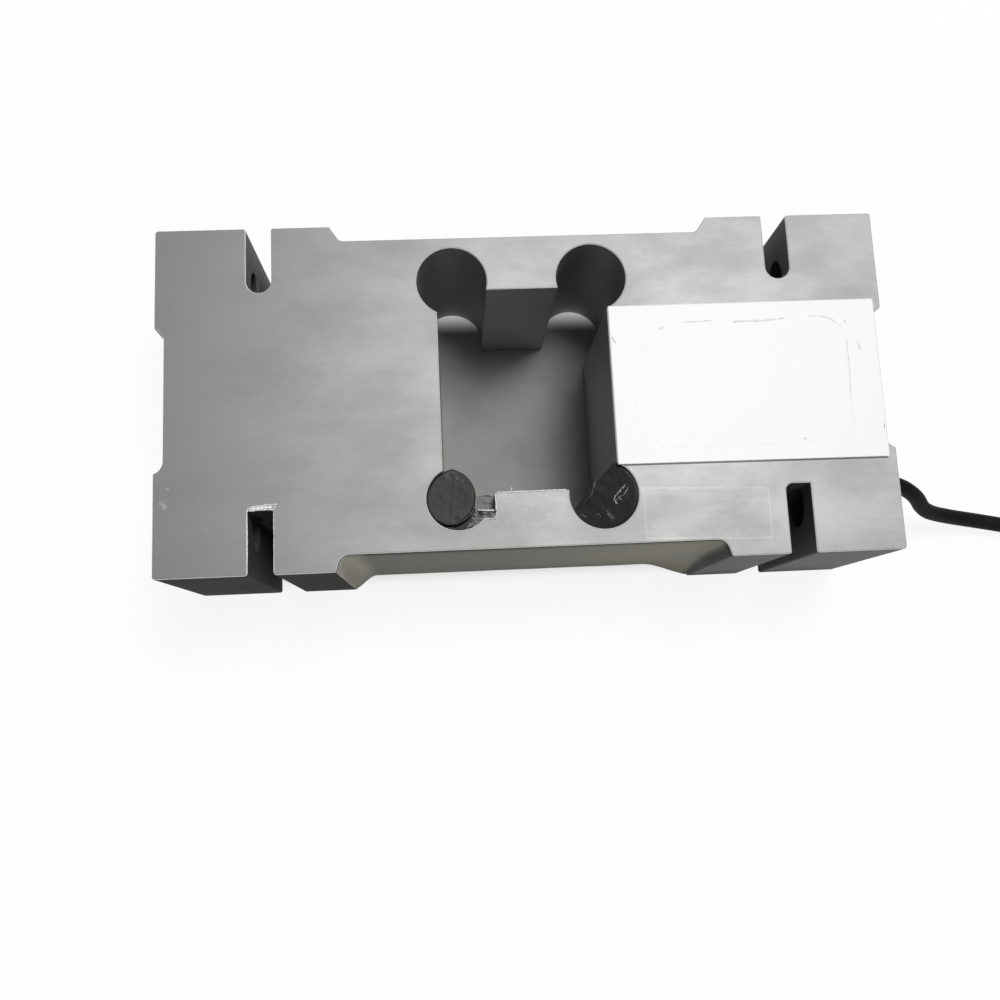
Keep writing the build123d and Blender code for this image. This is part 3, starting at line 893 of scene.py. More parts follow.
@dataclass
class SlotBurrs:
    """Bright burrs along the front edges of the slots and tongues: partly burrs that the cutter left, partly painted
    highlights on those edges.
    """

    face: float = 48.0
    height: float = 0.13
    step: float = 0.18
    taper: float = 0.4
    sides: int = 8
    burrs: tuple[Burr, ...] = (
        Burr(((-66.03, -41.7), (-65.95, -34.0), (-66.02, -27.3), (-65.8, -26.6)), 0.13, 3, 0.3, 0.03),
        Burr(((-65.9, -27.1), (-65.2, -26.95), (-62.5, -26.82), (-59.7, -26.85)), 0.13, 5, 0.7, 0.07),
        Burr(((-66.0, -27.0), (-65.8, -26.5), (-64.7, -26.1), (-62.5, -25.82), (-60.2, -25.68), (-59.1, -25.64)),
             0.17, 6, 0.7, 0.08),
        Burr(((-65.5, -26.65), (-62.6, -26.35), (-60.1, -26.3)), 0.36, 8, 0.45, 0.08),
        Burr(((-59.95, -27.0), (-59.6, -26.3), (-59.5, -25.8)), 0.13, 9, 0.6, 0.05),
        Burr(((-59.95, -27.4), (-59.93, -33.0), (-60.0, -41.6)), 0.06, 7, 0.3, 0.03),
        Burr(((-8.66, -24.84), (-2.0, -24.83), (8.1, -24.82)), 0.14, 11, 0.35, 0.03),
        Burr(((-8.68, -24.85), (-8.66, -29.2)), 0.12, 12, 0.35, 0.03),
        Burr(((-8.66, -29.2), (-8.68, -33.0)), 0.06, 13, 0.5, 0.03),
        Burr(((-13.1, -28.78), (-11.0, -28.98), (-8.8, -29.02)), 0.15, 14, 0.6, 0.04),
        Burr(((-5.1, -24.7), (-4.85, -24.25), (-4.75, -23.6)), 0.13, 15, 0.7, 0.09),
        Burr(((12.1, -33.3), (12.9, -33.75), (13.6, -34.35)), 0.1, 16, 0.5, 0.05),
    )

    def strip(self, burr: Burr) -> np.ndarray:
        """Rings along a burr: the path runs from corner to corner, pushed sideways by a ripple, and each ring is a
        flat ellipse as wide as the burr times another ripple, half sunk in the face.

        Args:
            burr: the burr.
        Returns:
            Array (rings, sides, 3) in millimetres.
        """
        corners = np.array(burr.corners)
        runs = np.linalg.norm(np.diff(corners, axis=0), axis=1)
        reach = np.concatenate([[0], np.cumsum(runs)])
        at = np.linspace(0, reach[-1], int(reach[-1] / self.step))
        path = np.stack([np.interp(at, reach, corners[:, 0]), np.interp(at, reach, corners[:, 1])], -1)
        way = np.gradient(path, axis=0)
        side = np.stack([-way[:, 1], way[:, 0]], -1) / np.linalg.norm(way, axis=1, keepdims=True)
        spots = np.stack([at, at * 0.3], -1)
        path = path + side * (burr.wander * ripple(spots, 1.8, burr.seed))[:, None]
        size = np.clip(1 + burr.rough * ripple(spots, 0.9, burr.seed + 50), 0.15, 1.6)
        size *= np.clip(np.minimum(at, reach[-1] - at) / self.taper, 0.1, 1)
        angle = np.linspace(0, 2 * np.pi, self.sides, endpoint=False)
        width = (burr.half_width * size)[:, None, None]
        flat = path[:, None] + side[:, None] * width * np.cos(angle)[None, :, None]
        rise = self.face + self.height * np.clip(size, 0.2, 1)[:, None] * np.sin(angle)[None]
        return np.concatenate([flat, rise[..., None]], -1)

    def build(self) -> None:
        """Make all burrs as one piece."""
        meshes = [ring_stack("slot_burrs", self.strip(burr)) for burr in self.burrs]
        place(joined("slot_burrs", meshes), BurrGlint().dress("burr_glint_metal"), "aluminium_block")


@dataclass
class FiledLedge:
    """The rough filed slope beside the lower tongue, and the grey putty in the pocket above it."""

    upper: Line = ((-13.3, -28.8), (-11.0, -29.0), (-8.72, -29.05))
    lower: Line = ((-15.9, -33.0), (-14.0, -32.5), (-12.5, -32.0), (-11.1, -31.5), (-10.1, -31.1), (-8.72, -30.1))
    bevel_end: float = -31.1
    sag: float = 0.45
    chip_depth: float = 0.42
    crack_depth: float = 0.3
    left_drop: float = 0.9
    putty: tuple[float, float, float, float] = (-13.5, -8.72, -28.72, -24.88)
    putty_top: float = 43.9
    putty_rise: float = 0.12
    putty_wave: float = 0.1
    face: float = 48.0

    @staticmethod
    def along(points: Line, share: np.ndarray) -> np.ndarray:
        """Places at shares of the way through a line's points.

        Args:
            points: the line.
            share: shares from 0 to 1.
        Returns:
            Array (shares, 2) in millimetres.
        """
        knots = np.array(points)
        at = np.linspace(0, 1, len(knots))
        return np.stack([np.interp(share, at, knots[:, 0]), np.interp(share, at, knots[:, 1])], -1)

    def ragged(self, share: np.ndarray) -> np.ndarray:
        """Places along the slope's lower edge, moved by a ripple."""
        line = self.along(self.lower, share)
        return line + 0.3 * ripple(line * np.array([1.0, 0.4]), 1.6, 26, 3)[:, None] * np.array([0.3, 1.0])

    def slope(self) -> bpy.types.Mesh:
        """Grid from the ridge down to the ragged edge on the face: its height is the face's less a shallow sag,
        plus chips from two ripples, and its lower edge wanders by a third.

        Returns:
            The slope's mesh.
        """
        s, t = np.meshgrid(np.linspace(0, 1, 150), np.linspace(0, 1, 90), indexing="ij")
        high, low = self.along(self.upper, s[:, 0]), self.ragged(s[:, 0])
        flat = high[:, None] + (low - high)[:, None] * t[..., None]
        chips = ripple(flat, 0.9, 21, 4)
        cracks = np.abs(ripple(flat, 1.3, 22, 3)) ** 0.7
        fade = np.clip((1 - t) * 7, 0, 1) * np.clip(t * 9, 0.25, 1)
        z = self.face + 0.03 - fade * (self.sag + self.chip_depth * chips + self.crack_depth * cracks)
        z -= self.left_drop * np.clip(0.32 - s, 0, 1)
        top = np.concatenate([flat, np.minimum(z, self.face + 0.04)[..., None]], -1)
        return slab("filed_ledge", top, top - np.array([0.0, 0.0, 0.5]))

    def flush(self) -> bpy.types.Mesh:
        """Grid level with the face between the slope's ragged edge and the end of the bevel under it.

        Returns:
            The strip's mesh.
        """
        s, t = np.meshgrid(np.linspace(0.55, 1, 80), np.linspace(0, 1, 20), indexing="ij")
        high = self.ragged(s[:, 0])
        low = np.stack([high[:, 0], np.minimum(high[:, 1] - 0.02, self.bevel_end)], -1)
        flat = high[:, None] + (low - high)[:, None] * t[..., None]
        top = np.concatenate([flat, np.full((*s.shape, 1), self.face + 0.02)], -1)
        return slab("ledge_face", top, top - np.array([0.0, 0.0, 0.3]), smooth=False)

    def fill(self) -> bpy.types.Mesh:
        """Grid in the pocket, raised along its walls as e to the power of minus the distance, and rippled.

        Returns:
            The putty's mesh.
        """
        s, t = np.meshgrid(np.linspace(0, 1, 60), np.linspace(0, 1, 60), indexing="ij")
        left, right, low, high = self.putty
        flat = np.stack([left + s * (right - left), low + t * (high - low)], -1)
        wall = np.minimum(np.minimum(1 - s, t), 1 - t)
        z = self.putty_top + self.putty_rise * np.exp(-wall / 0.06) + self.putty_wave * ripple(flat, 2.2, 27, 3)
        top = np.concatenate([flat, z[..., None]], -1)
        return slab("pocket_putty", top, top - np.array([0.0, 0.0, 1.2]))

    def build(self) -> None:
        """Make the slope, the level strip beside it and the putty."""
        rubble = SmallPart((0.075, 0.075, 0.072), (0.36, 0.36, 0.35), 0.6, 0.1, (700.0, 900.0, 900.0), 0.05)
        place(self.slope(), rubble.dress("filed_aluminium"), "aluminium_block")
        place(self.flush(), bpy.data.materials["block_aluminium"], "aluminium_block")
        putty = Elastomer((0.16, 0.158, 0.15), (0.22, 0.217, 0.205), 0.6, 700.0, 0.08, 240.0)
        place(self.fill(), putty.dress("pocket_putty_finish"), "compound")


@dataclass
class CoverLabel:
    """Bare white label over the circuit's cover, whose outline shows faintly through it."""

    left: Point = (20.52, -19.3, 19.72)
    right: Point = (85.7, -19.72, 19.72)
    face: float = 48.0
    thickness: float = 0.13
    grid: tuple[int, int] = (260, 170)
    cover: tuple[float, float, float, float, float] = (53.5, -0.3, 24.75, 15.75, 4.0)
    groove_width: float = 0.32
    groove_depth: float = 0.024
    wave_depth: float = 0.012
    dark: SmallPart = SmallPart((0.05, 0.05, 0.05), (0.3, 0.3, 0.3), 0.6)
    grey: SmallPart = SmallPart((0.64, 0.645, 0.65), (0.86, 0.865, 0.87), 0.5, 0.0, (1300.0, 1300.0, 1300.0))
    marks: tuple[Burr, ...] = (
        Burr(((21.0, 12.05), (21.39, 11.04), (21.99, 10.14)), 0.08, 91, 0.5, 0.02),
        Burr(((85.08, -11.49), (85.13, -12.35), (85.18, -13.21)), 0.09, 92, 0.5, 0.02),
        Burr(((78.0, 14.28), (78.4, 13.89)), 0.2, 93, 0.4, 0.02),
        Burr(((65.52, -14.39), (65.75, -14.98)), 0.22, 94, 0.6, 0.02),
        Burr(((65.15, -16.15), (65.31, -16.52)), 0.08, 95, 0.6, 0.02),
        Burr(((80.94, -0.43), (81.14, -0.82)), 0.12, 96, 0.6, 0.02),
        Burr(((61.54, -19.64), (62.74, -19.61)), 0.06, 97, 0.6, 0.02),
    )
    smudges: tuple[Burr, ...] = (
        Burr(((32.35, 13.37), (33.1, 13.73), (33.84, 13.88)), 0.22, 101, 0.7, 0.05),
        Burr(((38.56, 15.02), (42.73, 15.21), (45.68, 15.32)), 0.12, 102, 0.9, 0.1),
        Burr(((50.54, 14.89), (57.42, 14.9), (63.36, 15.3)), 0.17, 103, 0.8, 0.08),
        Burr(((69.34, 15.83), (72.78, 15.59), (75.16, 14.63), (77.18, 12.66)), 0.14, 104, 0.9, 0.08),
        Burr(((78.25, 9.83), (78.25, 6.3), (78.22, 1.28), (77.79, -5.18)), 0.09, 105, 0.9, 0.08),
        Burr(((25.3, -4.33), (25.73, -5.08)), 0.2, 106, 0.9, 0.08),
        Burr(((80.76, 8.99), (81.5, 6.7)), 0.16, 107, 0.9, 0.08),
    )

    def build(self) -> None:
        """Make the label: a grid between its slightly turned edges, sunk by a narrow groove where its distance from
        the cover's rounded outline is near zero, and by a long ripple. Its specks and rubbed lines lie on it."""
        s, t = np.meshgrid(*(np.linspace(0, 1, count) for count in self.grid), indexing="ij")
        x, low, high = (a + s * (b - a) for a, b in zip(self.left, self.right))
        y = low + t * (high - low)
        cx, cy, half_x, half_y, corner = self.cover
        away = np.stack([np.abs(x - cx) - half_x + corner, np.abs(y - cy) - half_y + corner], -1)
        distance = np.linalg.norm(np.maximum(away, 0), axis=-1) + np.minimum(away.max(-1), 0) - corner
        groove = np.exp(-(distance / self.groove_width) ** 2)
        wave = ripple(np.stack([x, y], -1), 26.0, 9, 2)
        top = self.face + self.thickness - self.groove_depth * groove - self.wave_depth * (1 - wave)
        points = np.stack([x, y, top], -1)
        under = np.stack([x, y, np.full_like(x, self.face + 0.004)], -1)
        place(slab("cover_label", points, under), WhiteFilm().dress("label_film"), "label_film", "label")
        flat = SlotBurrs(face=self.face + self.thickness - 0.005, height=0.02)
        sets = (("label_marks", self.marks, self.dark), ("label_smudges", self.smudges, self.grey))
        for name, marks, finish in sets:
            strips = [ring_stack(name, flat.strip(mark)) for mark in marks]
            place(joined(name, strips), finish.dress(name + "_finish"), "label_film")


@dataclass
class RecessCoat:
    """Sealing coat on the floor, coves and steep ends of the lower recess."""

    half_top: float = 46.0
    slope: float = 1.2
    edge: float = -42.0
    floor: float = -38.0
    cove: float = 2.8
    pools: Span = (6.0, 13.0)
    pool_depth: float = 3.3
    pool_top: float = 30.0
    pool_run: float = 28.0
    thickness: float = 0.5
    feather: float = 0.9
    margin: float = 0.4
    width: float = 48.0

    def outline(self, inset: float) -> np.ndarray:
        """Line across the recess, in X and Y: from one edge down the slope, round the cove's arc, along the floor,
        and the same way up again, moved into the recess by the inset.

        Args:
            inset: distance from the metal.
        Returns:
            Array (n, 2) in millimetres.
        """
        top = self.half_top - inset
        low = top - self.slope
        floor = self.floor - inset
        lean = np.arctan2(self.slope, floor - self.edge)
        radius = self.cove - inset
        start = radius * np.tan((np.pi / 2 - lean) / 2)
        turn = np.linspace(0, np.pi / 2 - lean, 14)
        arc = np.stack([low - start + radius * np.sin(turn), floor - radius * (1 - np.cos(turn))], -1)
        wall = np.linspace(arc[-1], np.array([top, self.edge]), 8)[1:]
        run = np.linspace(0, low - start, 120)[:-1]
        half = np.concatenate([np.stack([run, np.full_like(run, floor)], -1), arc, wall])
        return np.concatenate([half[:0:-1] * [-1, 1], half])

    def pooled(self, tight: np.ndarray) -> np.ndarray:
        """The same line where the coat pooled: toward each end it falls from the floor by a smooth step.

        Args:
            tight: the line without a pool.
        Returns:
            Array of its shape.
        """
        reach = np.where(tight[:, 0] < 0, *self.pools)
        share = np.clip((np.abs(tight[:, 0]) - self.half_top + reach) / reach, 0, 1)
        low = self.floor - self.thickness - self.pool_depth * share ** 2 * (3 - 2 * share)
        return np.stack([tight[:, 0], np.minimum(tight[:, 1], low)], -1)

    def build(self) -> None:
        """Make the coat: two outlines, on the metal and on the coat's face, each carried across the width. The face
        turns into the pooled one from the upper edge down to the lower one, and it is drawn back to the metal toward
        both long edges and rippled a little."""
        metal, tight = self.outline(0.004), self.outline(self.thickness)
        z = np.linspace(self.margin, self.width - self.margin, 80)
        pool = np.clip((self.pool_top - z) / self.pool_run, 0, 1) ** 1.5
        pooled = self.pooled(tight)
        face = tight[:, None] + (pooled - tight)[:, None] * pool[None, :, None]
        near = np.minimum(z - self.margin, self.width - self.margin - z)
        share = np.clip(near / self.feather, 0.04, 1) ** 0.5
        spot = np.stack(np.broadcast_arrays(metal[:, None, 0], z[None, :]), -1)
        share = share[None, :] * (0.93 + 0.07 * ripple(spot, 16.0, 31, 3))
        flat = metal[:, None] + (face - metal[:, None]) * share[..., None]
        level = np.broadcast_to(z[None, :, None], (len(metal), len(z), 1))
        front = np.concatenate([flat, level], -1)
        back = np.concatenate([np.broadcast_to(metal[:, None], flat.shape), level], -1)
        place(slab("sealing_coat", front, back), CreamCoat().dress("cream_coat"), "sealing_coat", "recess_coat")


@dataclass
class HoleFilling:
    """A plug or a mass of compound in one of the two lower holes: its outline's points, the hole that cuts it off,
    its top, the nodes that it stands for and its finish."""

    name: str
    hole: Point
    points: Line
    top: float
    foot: float
    nodes: tuple[str, ...]
    slot: str
    finish: Elastomer
    seed: int
    tilt: Span = (0.0, 0.0)
    swell: float = 0.1
    wave: float = 5.0
    round_rim: float = 0.4
    rim_share: float = 0.09
    dish: float = 0.0
    highest: float = 47.85
    foot_shares: Span = (0.05, 0.6)
    side_rows: int = 11

    def ring(self, count: int = 160) -> np.ndarray:
        """Closed smooth line through the outline's points, each span a cubic with the slope of its neighbours,
        drawn in to the hole's wall where it passes it.

        Args:
            count: points in the line.
        Returns:
            Array (count, 2) in millimetres.
        """
        knots = np.array(self.points)
        before, after, beyond = np.roll(knots, 1, 0), np.roll(knots, -1, 0), np.roll(knots, -2, 0)
        at = np.linspace(0, len(knots), count, endpoint=False)
        span = at.astype(int)
        t = (at - span)[:, None]
        a, b, c, d = before[span], knots[span], after[span], beyond[span]
        bend, twist = 2 * a - 5 * b + 4 * c - d, 3 * b - a - 3 * c + d
        line = 0.5 * (2 * b + (c - a) * t + bend * t ** 2 + twist * t ** 3)
        away = line - np.array(self.hole[:2])
        size = np.linalg.norm(away, axis=1, keepdims=True)
        return np.array(self.hole[:2]) + away * np.minimum(1, self.hole[2] / size)

    def level(self, flat: np.ndarray, share: np.ndarray) -> np.ndarray:
        """Height of the top: a plane with a tilt, a dish, a ripple, and a round drop at the rim.

        Args:
            flat: places (rings, points, 2).
            share: each ring's share of the outline's distance from the middle.
        Returns:
            Array (rings, points) in millimetres.
        """
        off = flat - np.array(self.hole[:2])
        plane = self.top + self.tilt[0] * off[..., 0] + self.tilt[1] * off[..., 1]
        inward = np.clip((1 - share) / self.rim_share, 0, 1)[:, None]
        rim = self.round_rim * (1 - np.sqrt(1 - (1 - inward) ** 2))
        wave = self.swell * ripple(flat, self.wave, self.seed, 4) * inward
        dish = self.dish * np.clip(1 - share, 0, 1)[:, None]
        return np.minimum(plane - rim + wave - dish, self.highest)

    def build(self) -> None:
        """Make the filling: shrunken copies of its outline about its middle, from the foot out, up the side and in
        over the top."""
        ring = self.ring()
        middle = ring.mean(0)
        top_shares = np.concatenate([np.linspace(1.0, 0.91, 9), np.linspace(0.88, 0.02, 46)])
        shares = np.concatenate([self.foot_shares, np.ones(self.side_rows), top_shares])
        flat = middle + shares[:, None, None] * (ring - middle)[None]
        top = self.level(flat[-len(top_shares):], top_shares)
        rise = np.linspace(0, 1, self.side_rows + 1)[:-1, None]
        side = self.foot + rise * (top[:1] - 0.05 - self.foot)
        z = np.concatenate([np.full((len(self.foot_shares), len(ring)), self.foot), side, top])
        rings = np.concatenate([flat, z[..., None]], -1)
        place(ring_stack(self.name, rings), self.finish.dress(self.name + "_finish"), self.slot, *self.nodes)


@dataclass(frozen=True)
class Smear:
    """One streak on a filling: points along it, and its thickness."""

    points: Line
    radius: float
    seed: int


@dataclass
class HoleSeals:
    """Everything that closes the two lower holes: the grey plug and compound on the left, the black mass on the
    right, the streaks on them, and painted highlights along the edges of the plug and the mass and on the hole's lip."""

    left: Point = (-17.3, -25.9, 7.47)
    right: Point = (16.8, -26.2, 8.17)
    disc: Line = (
        (-19.6, -18.3), (-23.0, -19.4), (-25.5, -22.8), (-25.4, -27.2), (-23.0, -30.6), (-19.6, -31.85),
        (-16.6, -31.1), (-14.4, -28.9), (-13.3, -25.8), (-13.7, -22.7), (-15.9, -19.8))
    mass: Line = (
        (20.8, -17.6), (18.9, -19.6), (17.2, -21.1), (15.3, -22.5), (14.5, -25.0), (13.3, -27.0), (11.8, -28.6),
        (9.7, -29.2), (8.2, -30.6), (10.0, -33.5), (14.0, -35.5), (19.0, -35.2), (23.5, -32.0), (26.0, -27.0),
        (25.4, -22.0), (23.4, -18.6))
    bed: Line = (
        (-23.0, -24.85), (-18.0, -24.8), (-13.0, -24.75), (-9.2, -24.7), (-8.6, -27.0), (-10.4, -31.0),
        (-14.0, -34.0), (-19.0, -34.0), (-22.6, -31.0), (-23.4, -28.0))
    streaks: tuple[Smear, ...] = (
        Smear(((22.36, -23.85), (21.5, -24.63), (20.49, -25.55), (19.6, -26.72), (19.46, -27.43), (20.2, -28.4)),
              0.2, 71),
        Smear(((22.75, -24.4), (22.31, -25.38), (21.51, -26.31), (20.55, -26.75), (19.76, -27.56)), 0.13, 72),
        Smear(((20.4, -26.9), (20.9, -27.4), (21.2, -27.2)), 0.07, 77),
    )
    faint_streaks_and_glint: tuple[Smear, ...] = (
        Smear(((17.3, -29.23), (17.78, -29.92), (18.54, -31.03), (19.45, -31.66)), 0.2, 73),
        Smear(((17.53, -30.15), (18.18, -31.13), (18.95, -32.0)), 0.14, 74),
        # along the mass's left edge: a painted highlight
        Smear(((17.1, -21.35), (15.95, -21.95), (15.2, -22.75), (14.85, -23.9), (14.35, -25.4), (13.75, -26.5)),
              0.2, 75),
        Smear(((10.2, -30.2), (11.0, -30.6), (12.0, -30.2), (13.0, -30.9)), 0.14, 78),
        Smear(((9.6, -31.0), (10.6, -32.0), (11.8, -32.4)), 0.12, 79),
        Smear(((15.0, -30.6), (15.8, -30.2), (16.2, -31.2)), 0.1, 80),
    )
    disc_glint_and_streak: tuple[Smear, ...] = (
        # along the plug's lower right edge: a painted highlight
        Smear(((-21.2, -31.0), (-19.8, -31.68), (-17.8, -31.6), (-16.2, -30.85), (-14.9, -29.75), (-14.0, -28.6),
               (-13.6, -27.3)), 0.1, 81),
        Smear(((-18.9, -19.4), (-18.1, -20.2), (-17.0, -21.2), (-16.1, -21.8)), 0.42, 82),
    )
    lip_glints: tuple[Smear, ...] = (
        # on the rim of the hole's lip below the plug: a painted highlight
        Smear(((-20.4, -32.55), (-18.4, -32.85), (-17.0, -32.55), (-15.5, -31.75), (-14.6, -30.8)), 0.1, 83),
    )

    grey: Elastomer = Elastomer((0.017, 0.0175, 0.0165), (0.033, 0.034, 0.031), 0.6, 900.0, 0.02, 130.0, 0.4)
    black: Elastomer = Elastomer((0.013, 0.013, 0.0132), (0.018, 0.018, 0.0185), 0.5, 420.0, 0.02, 120.0, 0.3)
    pale: SmallPart = SmallPart((0.05, 0.05, 0.049), (0.44, 0.44, 0.425), 0.4, 0.0, (1500.0, 1500.0, 1500.0), 0.04)
    faint: SmallPart = SmallPart((0.02, 0.02, 0.02), (0.095, 0.094, 0.09), 0.45, 0.0, (1300.0, 1300.0, 1300.0), 0.03)
    # colour of the painted highlights on the plug and the lip, and of the streak on the plug
    film: SmallPart = SmallPart((0.045, 0.0465, 0.042), (0.085, 0.087, 0.079), 0.55, 0.0, (500.0, 500.0, 500.0), 0.01)
    streak_share: float = 0.5
    streak_lift: float = 0.02
    streak_flatness: float = 0.25

    def streak(self, smear: Smear, surface: HoleFilling) -> bpy.types.Mesh:
        """Mesh of one streak: a flat ragged strip along a line through its points, just above the filling.

        Args:
            smear: the streak.
            surface: the filling that it lies on.
        Returns:
            The streak's mesh.
        """
        knots = np.array(smear.points)
        at = np.linspace(0, len(knots) - 1, 40 * len(knots))
        path = np.stack([np.interp(at, np.arange(len(knots)), knots[:, i]) for i in (0, 1)], -1)
        spots = np.stack([at * 2.0, at * 0.3], -1)
        sway = smear.radius * 0.6
        path = path + sway * np.stack([ripple(spots, 1.3, smear.seed), ripple(spots, 1.1, smear.seed + 9)], -1)
        height = surface.level(path[None], np.array([self.streak_share]))[0] + self.streak_lift
        ragged = ripple(np.stack([at * 4, at], -1), 1.0, smear.seed + 3)
        size = smear.radius * np.clip(0.85 + 0.9 * ragged, 0.2, 1.7)
        size *= np.clip(np.minimum(at, at[-1] - at) / 0.35, 0.12, 1)
        rings = tube_rings(np.concatenate([path, height[:, None]], -1), size, 10)
        rings[..., 2] = height[:, None] + self.streak_flatness * (rings[..., 2] - height[:, None])
        return ring_stack("streak", rings)

    def build(self) -> None:
        """Make the fillings, the streaks and the painted highlights."""
        disc = HoleFilling("plug_disc", self.left, self.disc, 46.3, 5.0, ("plug_left",), "grey_rubber", self.grey, 41,
                           round_rim=0.45, dish=0.15)
        bed = HoleFilling("compound_bed", self.left, self.bed, 43.2, 4.0, ("compound_left",), "compound", self.black,
                          43, swell=0.12, round_rim=0.3)
        mass = HoleFilling("black_mass", self.right, self.mass, 44.9, 4.0, ("plug_right", "compound_right"),
                           "black_rubber", self.black, 42, tilt=(0.3, 0.1), swell=0.07, wave=6.0, round_rim=0.3)
        lip = HoleFilling("lip", self.left, self.disc, 47.3, 5.0, (), "compound", self.black, 44)
        for filling in (disc, bed, mass):
            filling.build()
        sets = (("dried_streaks", self.streaks, mass, self.pale),
                ("faint_streaks_and_glint", self.faint_streaks_and_glint, mass, self.faint),
                ("disc_glint_and_smear", self.disc_glint_and_streak, disc, self.film),
                ("lip_glints", self.lip_glints, lip, self.film))
        for name, smears, surface, finish in sets:
            strips = [self.streak(smear, surface) for smear in smears]
            place(joined(name, strips), finish.dress(name + "_finish"), surface.slot)


@dataclass
class SignalCable:
    """The free cable: jacket, coil, strain relief and stripped end."""

    exit: Point = CABLE_ROUTE[0]
    diameter: float = 4.2
    centre: Span = (188.0, -4.1)
    columns: tuple[float, ...] = (31.3, 27.1, 22.9, 18.7)
    layers: tuple[float, ...] = (2.1, 6.3, 10.5)
    end_radius: float = 25.0
    end_height: float = 14.7
    end_turn: float = 12.0 + 48.0 / 360.0
    steps: int = 16
    length: float = 2.0
    core_reach: float = 17.0
    drain_reach: float = 12.0
    rows: int = 60
    insulated_rows: int = 46
    resting: float = 13.05
    axis: Span = (-21.8, 24.0)
    jacket: Elastomer = field(default_factory=lambda: Elastomer(
        (0.003, 0.0034, 0.0042), (0.007, 0.0074, 0.0086), 0.66, 2600.0, 0.02, 60.0, 0.2))

    def turns(self) -> np.ndarray:
        """Control points of the coil: at each share of a turn the angle grows evenly, and radius and height follow
        their key values, so that a turn moves to the next column or layer only where its neighbour leaves room.

        Returns:
            Array (points, 3) in metres.
        """
        inward, outward = self.columns, self.columns[-2::-1]
        radius_at = [0, 0.8, 1.0, 1.8, 2.0, 2.8, 3.0, 4.4, 4.6, 5.4, 5.6, 6.4, 6.6, 8.0, 8.2, 9.0, 9.2, 10.0, 10.2,
                     11.0, 11.3, 13.0]
        radius_is = np.repeat([*inward, *outward, *inward[1:], self.end_radius], 2)
        height_at = [0, 3.6, 3.8, 7.2, 7.4, 10.8, 11.0, 13.0]
        height_is = np.repeat([*self.layers, self.end_height], 2)
        count = int(round(self.end_turn * self.steps))
        turn = np.arange(1, count + 1) * self.end_turn / count
        angle = 2 * np.pi * (turn - 0.25)
        swell = 1 / (0.75 + 0.25 * np.cos(2 * np.pi / self.steps))
        radius = np.interp(turn, radius_at, radius_is) * swell
        height = np.interp(turn, height_at, height_is)
        x = self.centre[0] + radius * np.cos(angle)
        y = self.centre[1] + radius * np.sin(angle)
        return np.stack([x, y, height], -1) * MM

    def lay_cable(self) -> bpy.types.Object:
        """Lay the jacket: one smooth spline through the route's points and the coil's turns.

        Returns:
            The cable.
        """
        points = CABLE_ROUTE + self.turns().tolist()
        curve = bpy.data.curves.new("signal_cable", "CURVE")
        curve.dimensions = "3D"
        spline = curve.splines.new("NURBS")
        spline.points.add(len(points) - 1)
        spline.points.foreach_set("co", [value for p in points for value in (*p, 1.0)])
        spline.order_u = 3
        spline.use_endpoint_u = True
        spline.resolution_u = 8
        curve.bevel_depth = self.diameter / 2 * MM
        curve.bevel_resolution = 5
        curve.use_fill_caps = True
        piece = bpy.data.objects.new("signal_cable", curve)
        bpy.context.scene.collection.objects.link(piece)
        curve.materials.append(self.jacket.dress("cable_jacket"))
        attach(piece, "root")
        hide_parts("cable", "cable_coil", "cable_end")
        LOG.info("signal_cable: %d control points", len(points))
        return piece

    def strip_cores(self) -> list[bpy.types.Object]:
        """Make the four cores and the drain: each runs out of the jacket, down to the coil and fans out, and its
        insulation ends before its bare tip.

        Returns:
            The wires' pieces.
        """
        angle = 2 * np.pi * (self.end_turn - 0.25)
        tip = np.array([self.centre[0] + self.end_radius * np.cos(angle),
                        self.centre[1] + self.end_radius * np.sin(angle), self.end_height])
        along = np.array([-np.sin(angle), np.cos(angle), 0.0])
        across = np.array([-along[1], along[0], 0.0])
        colors = {"core_red": (0.5, 0.02, 0.015), "core_black": (0.012, 0.012, 0.012),
                  "core_green": (0.015, 0.22, 0.06), "core_white": (0.78, 0.78, 0.76),
                  "shield_drain": (0.5, 0.5, 0.48)}
        strand = SmallPart(colors["shield_drain"], (0.7, 0.7, 0.68), 0.3, 0.9, (2500.0, 2500.0, 2500.0))
        bare = strand.dress("tinned_strand")
        share = np.linspace(0, 1, self.rows)
        drop = (1 - np.clip(share / 0.45, 0, 1)) ** 2
        pieces = []
        for index, (node, color) in enumerate(colors.items()):
            drain = node == "shield_drain"
            reach = self.drain_reach if drain else self.core_reach
            out = share * reach
            fan = (index - 2) * (0.9 + 1.5 * share ** 1.4) + 0.05 * reach * share
            path = tip + along * out[:, None] + across * fan[:, None]
            path[:, 2] = self.resting + (self.end_height - 0.6 - self.resting) * drop
            cut = self.rows if drain else self.insulated_rows
            radius = 0.24 * (1 + 0.10 * np.sin(out * 9.0)) if drain else np.full(self.rows, 0.4)
            radius[0] *= 0.9
            sleeve = ring_stack(node + "_wire", tube_rings(path[:cut], radius[:cut], 14))
            tone = tuple(0.8 * value for value in color)
            finish = bare if drain else SmallPart(tone, color, 0.38).dress(node + "_pvc")
            slot = "drain_wire" if drain else node
            pieces.append(place(sleeve, finish, slot, node))
            if not drain:
                twist = 0.23 * (1 + 0.08 * np.sin(out[cut - 2:] * 12.0))
                bare_tip = ring_stack(node + "_tip", tube_rings(path[cut - 2:], twist, 12))
                pieces.append(place(bare_tip, bare, slot))
        return pieces

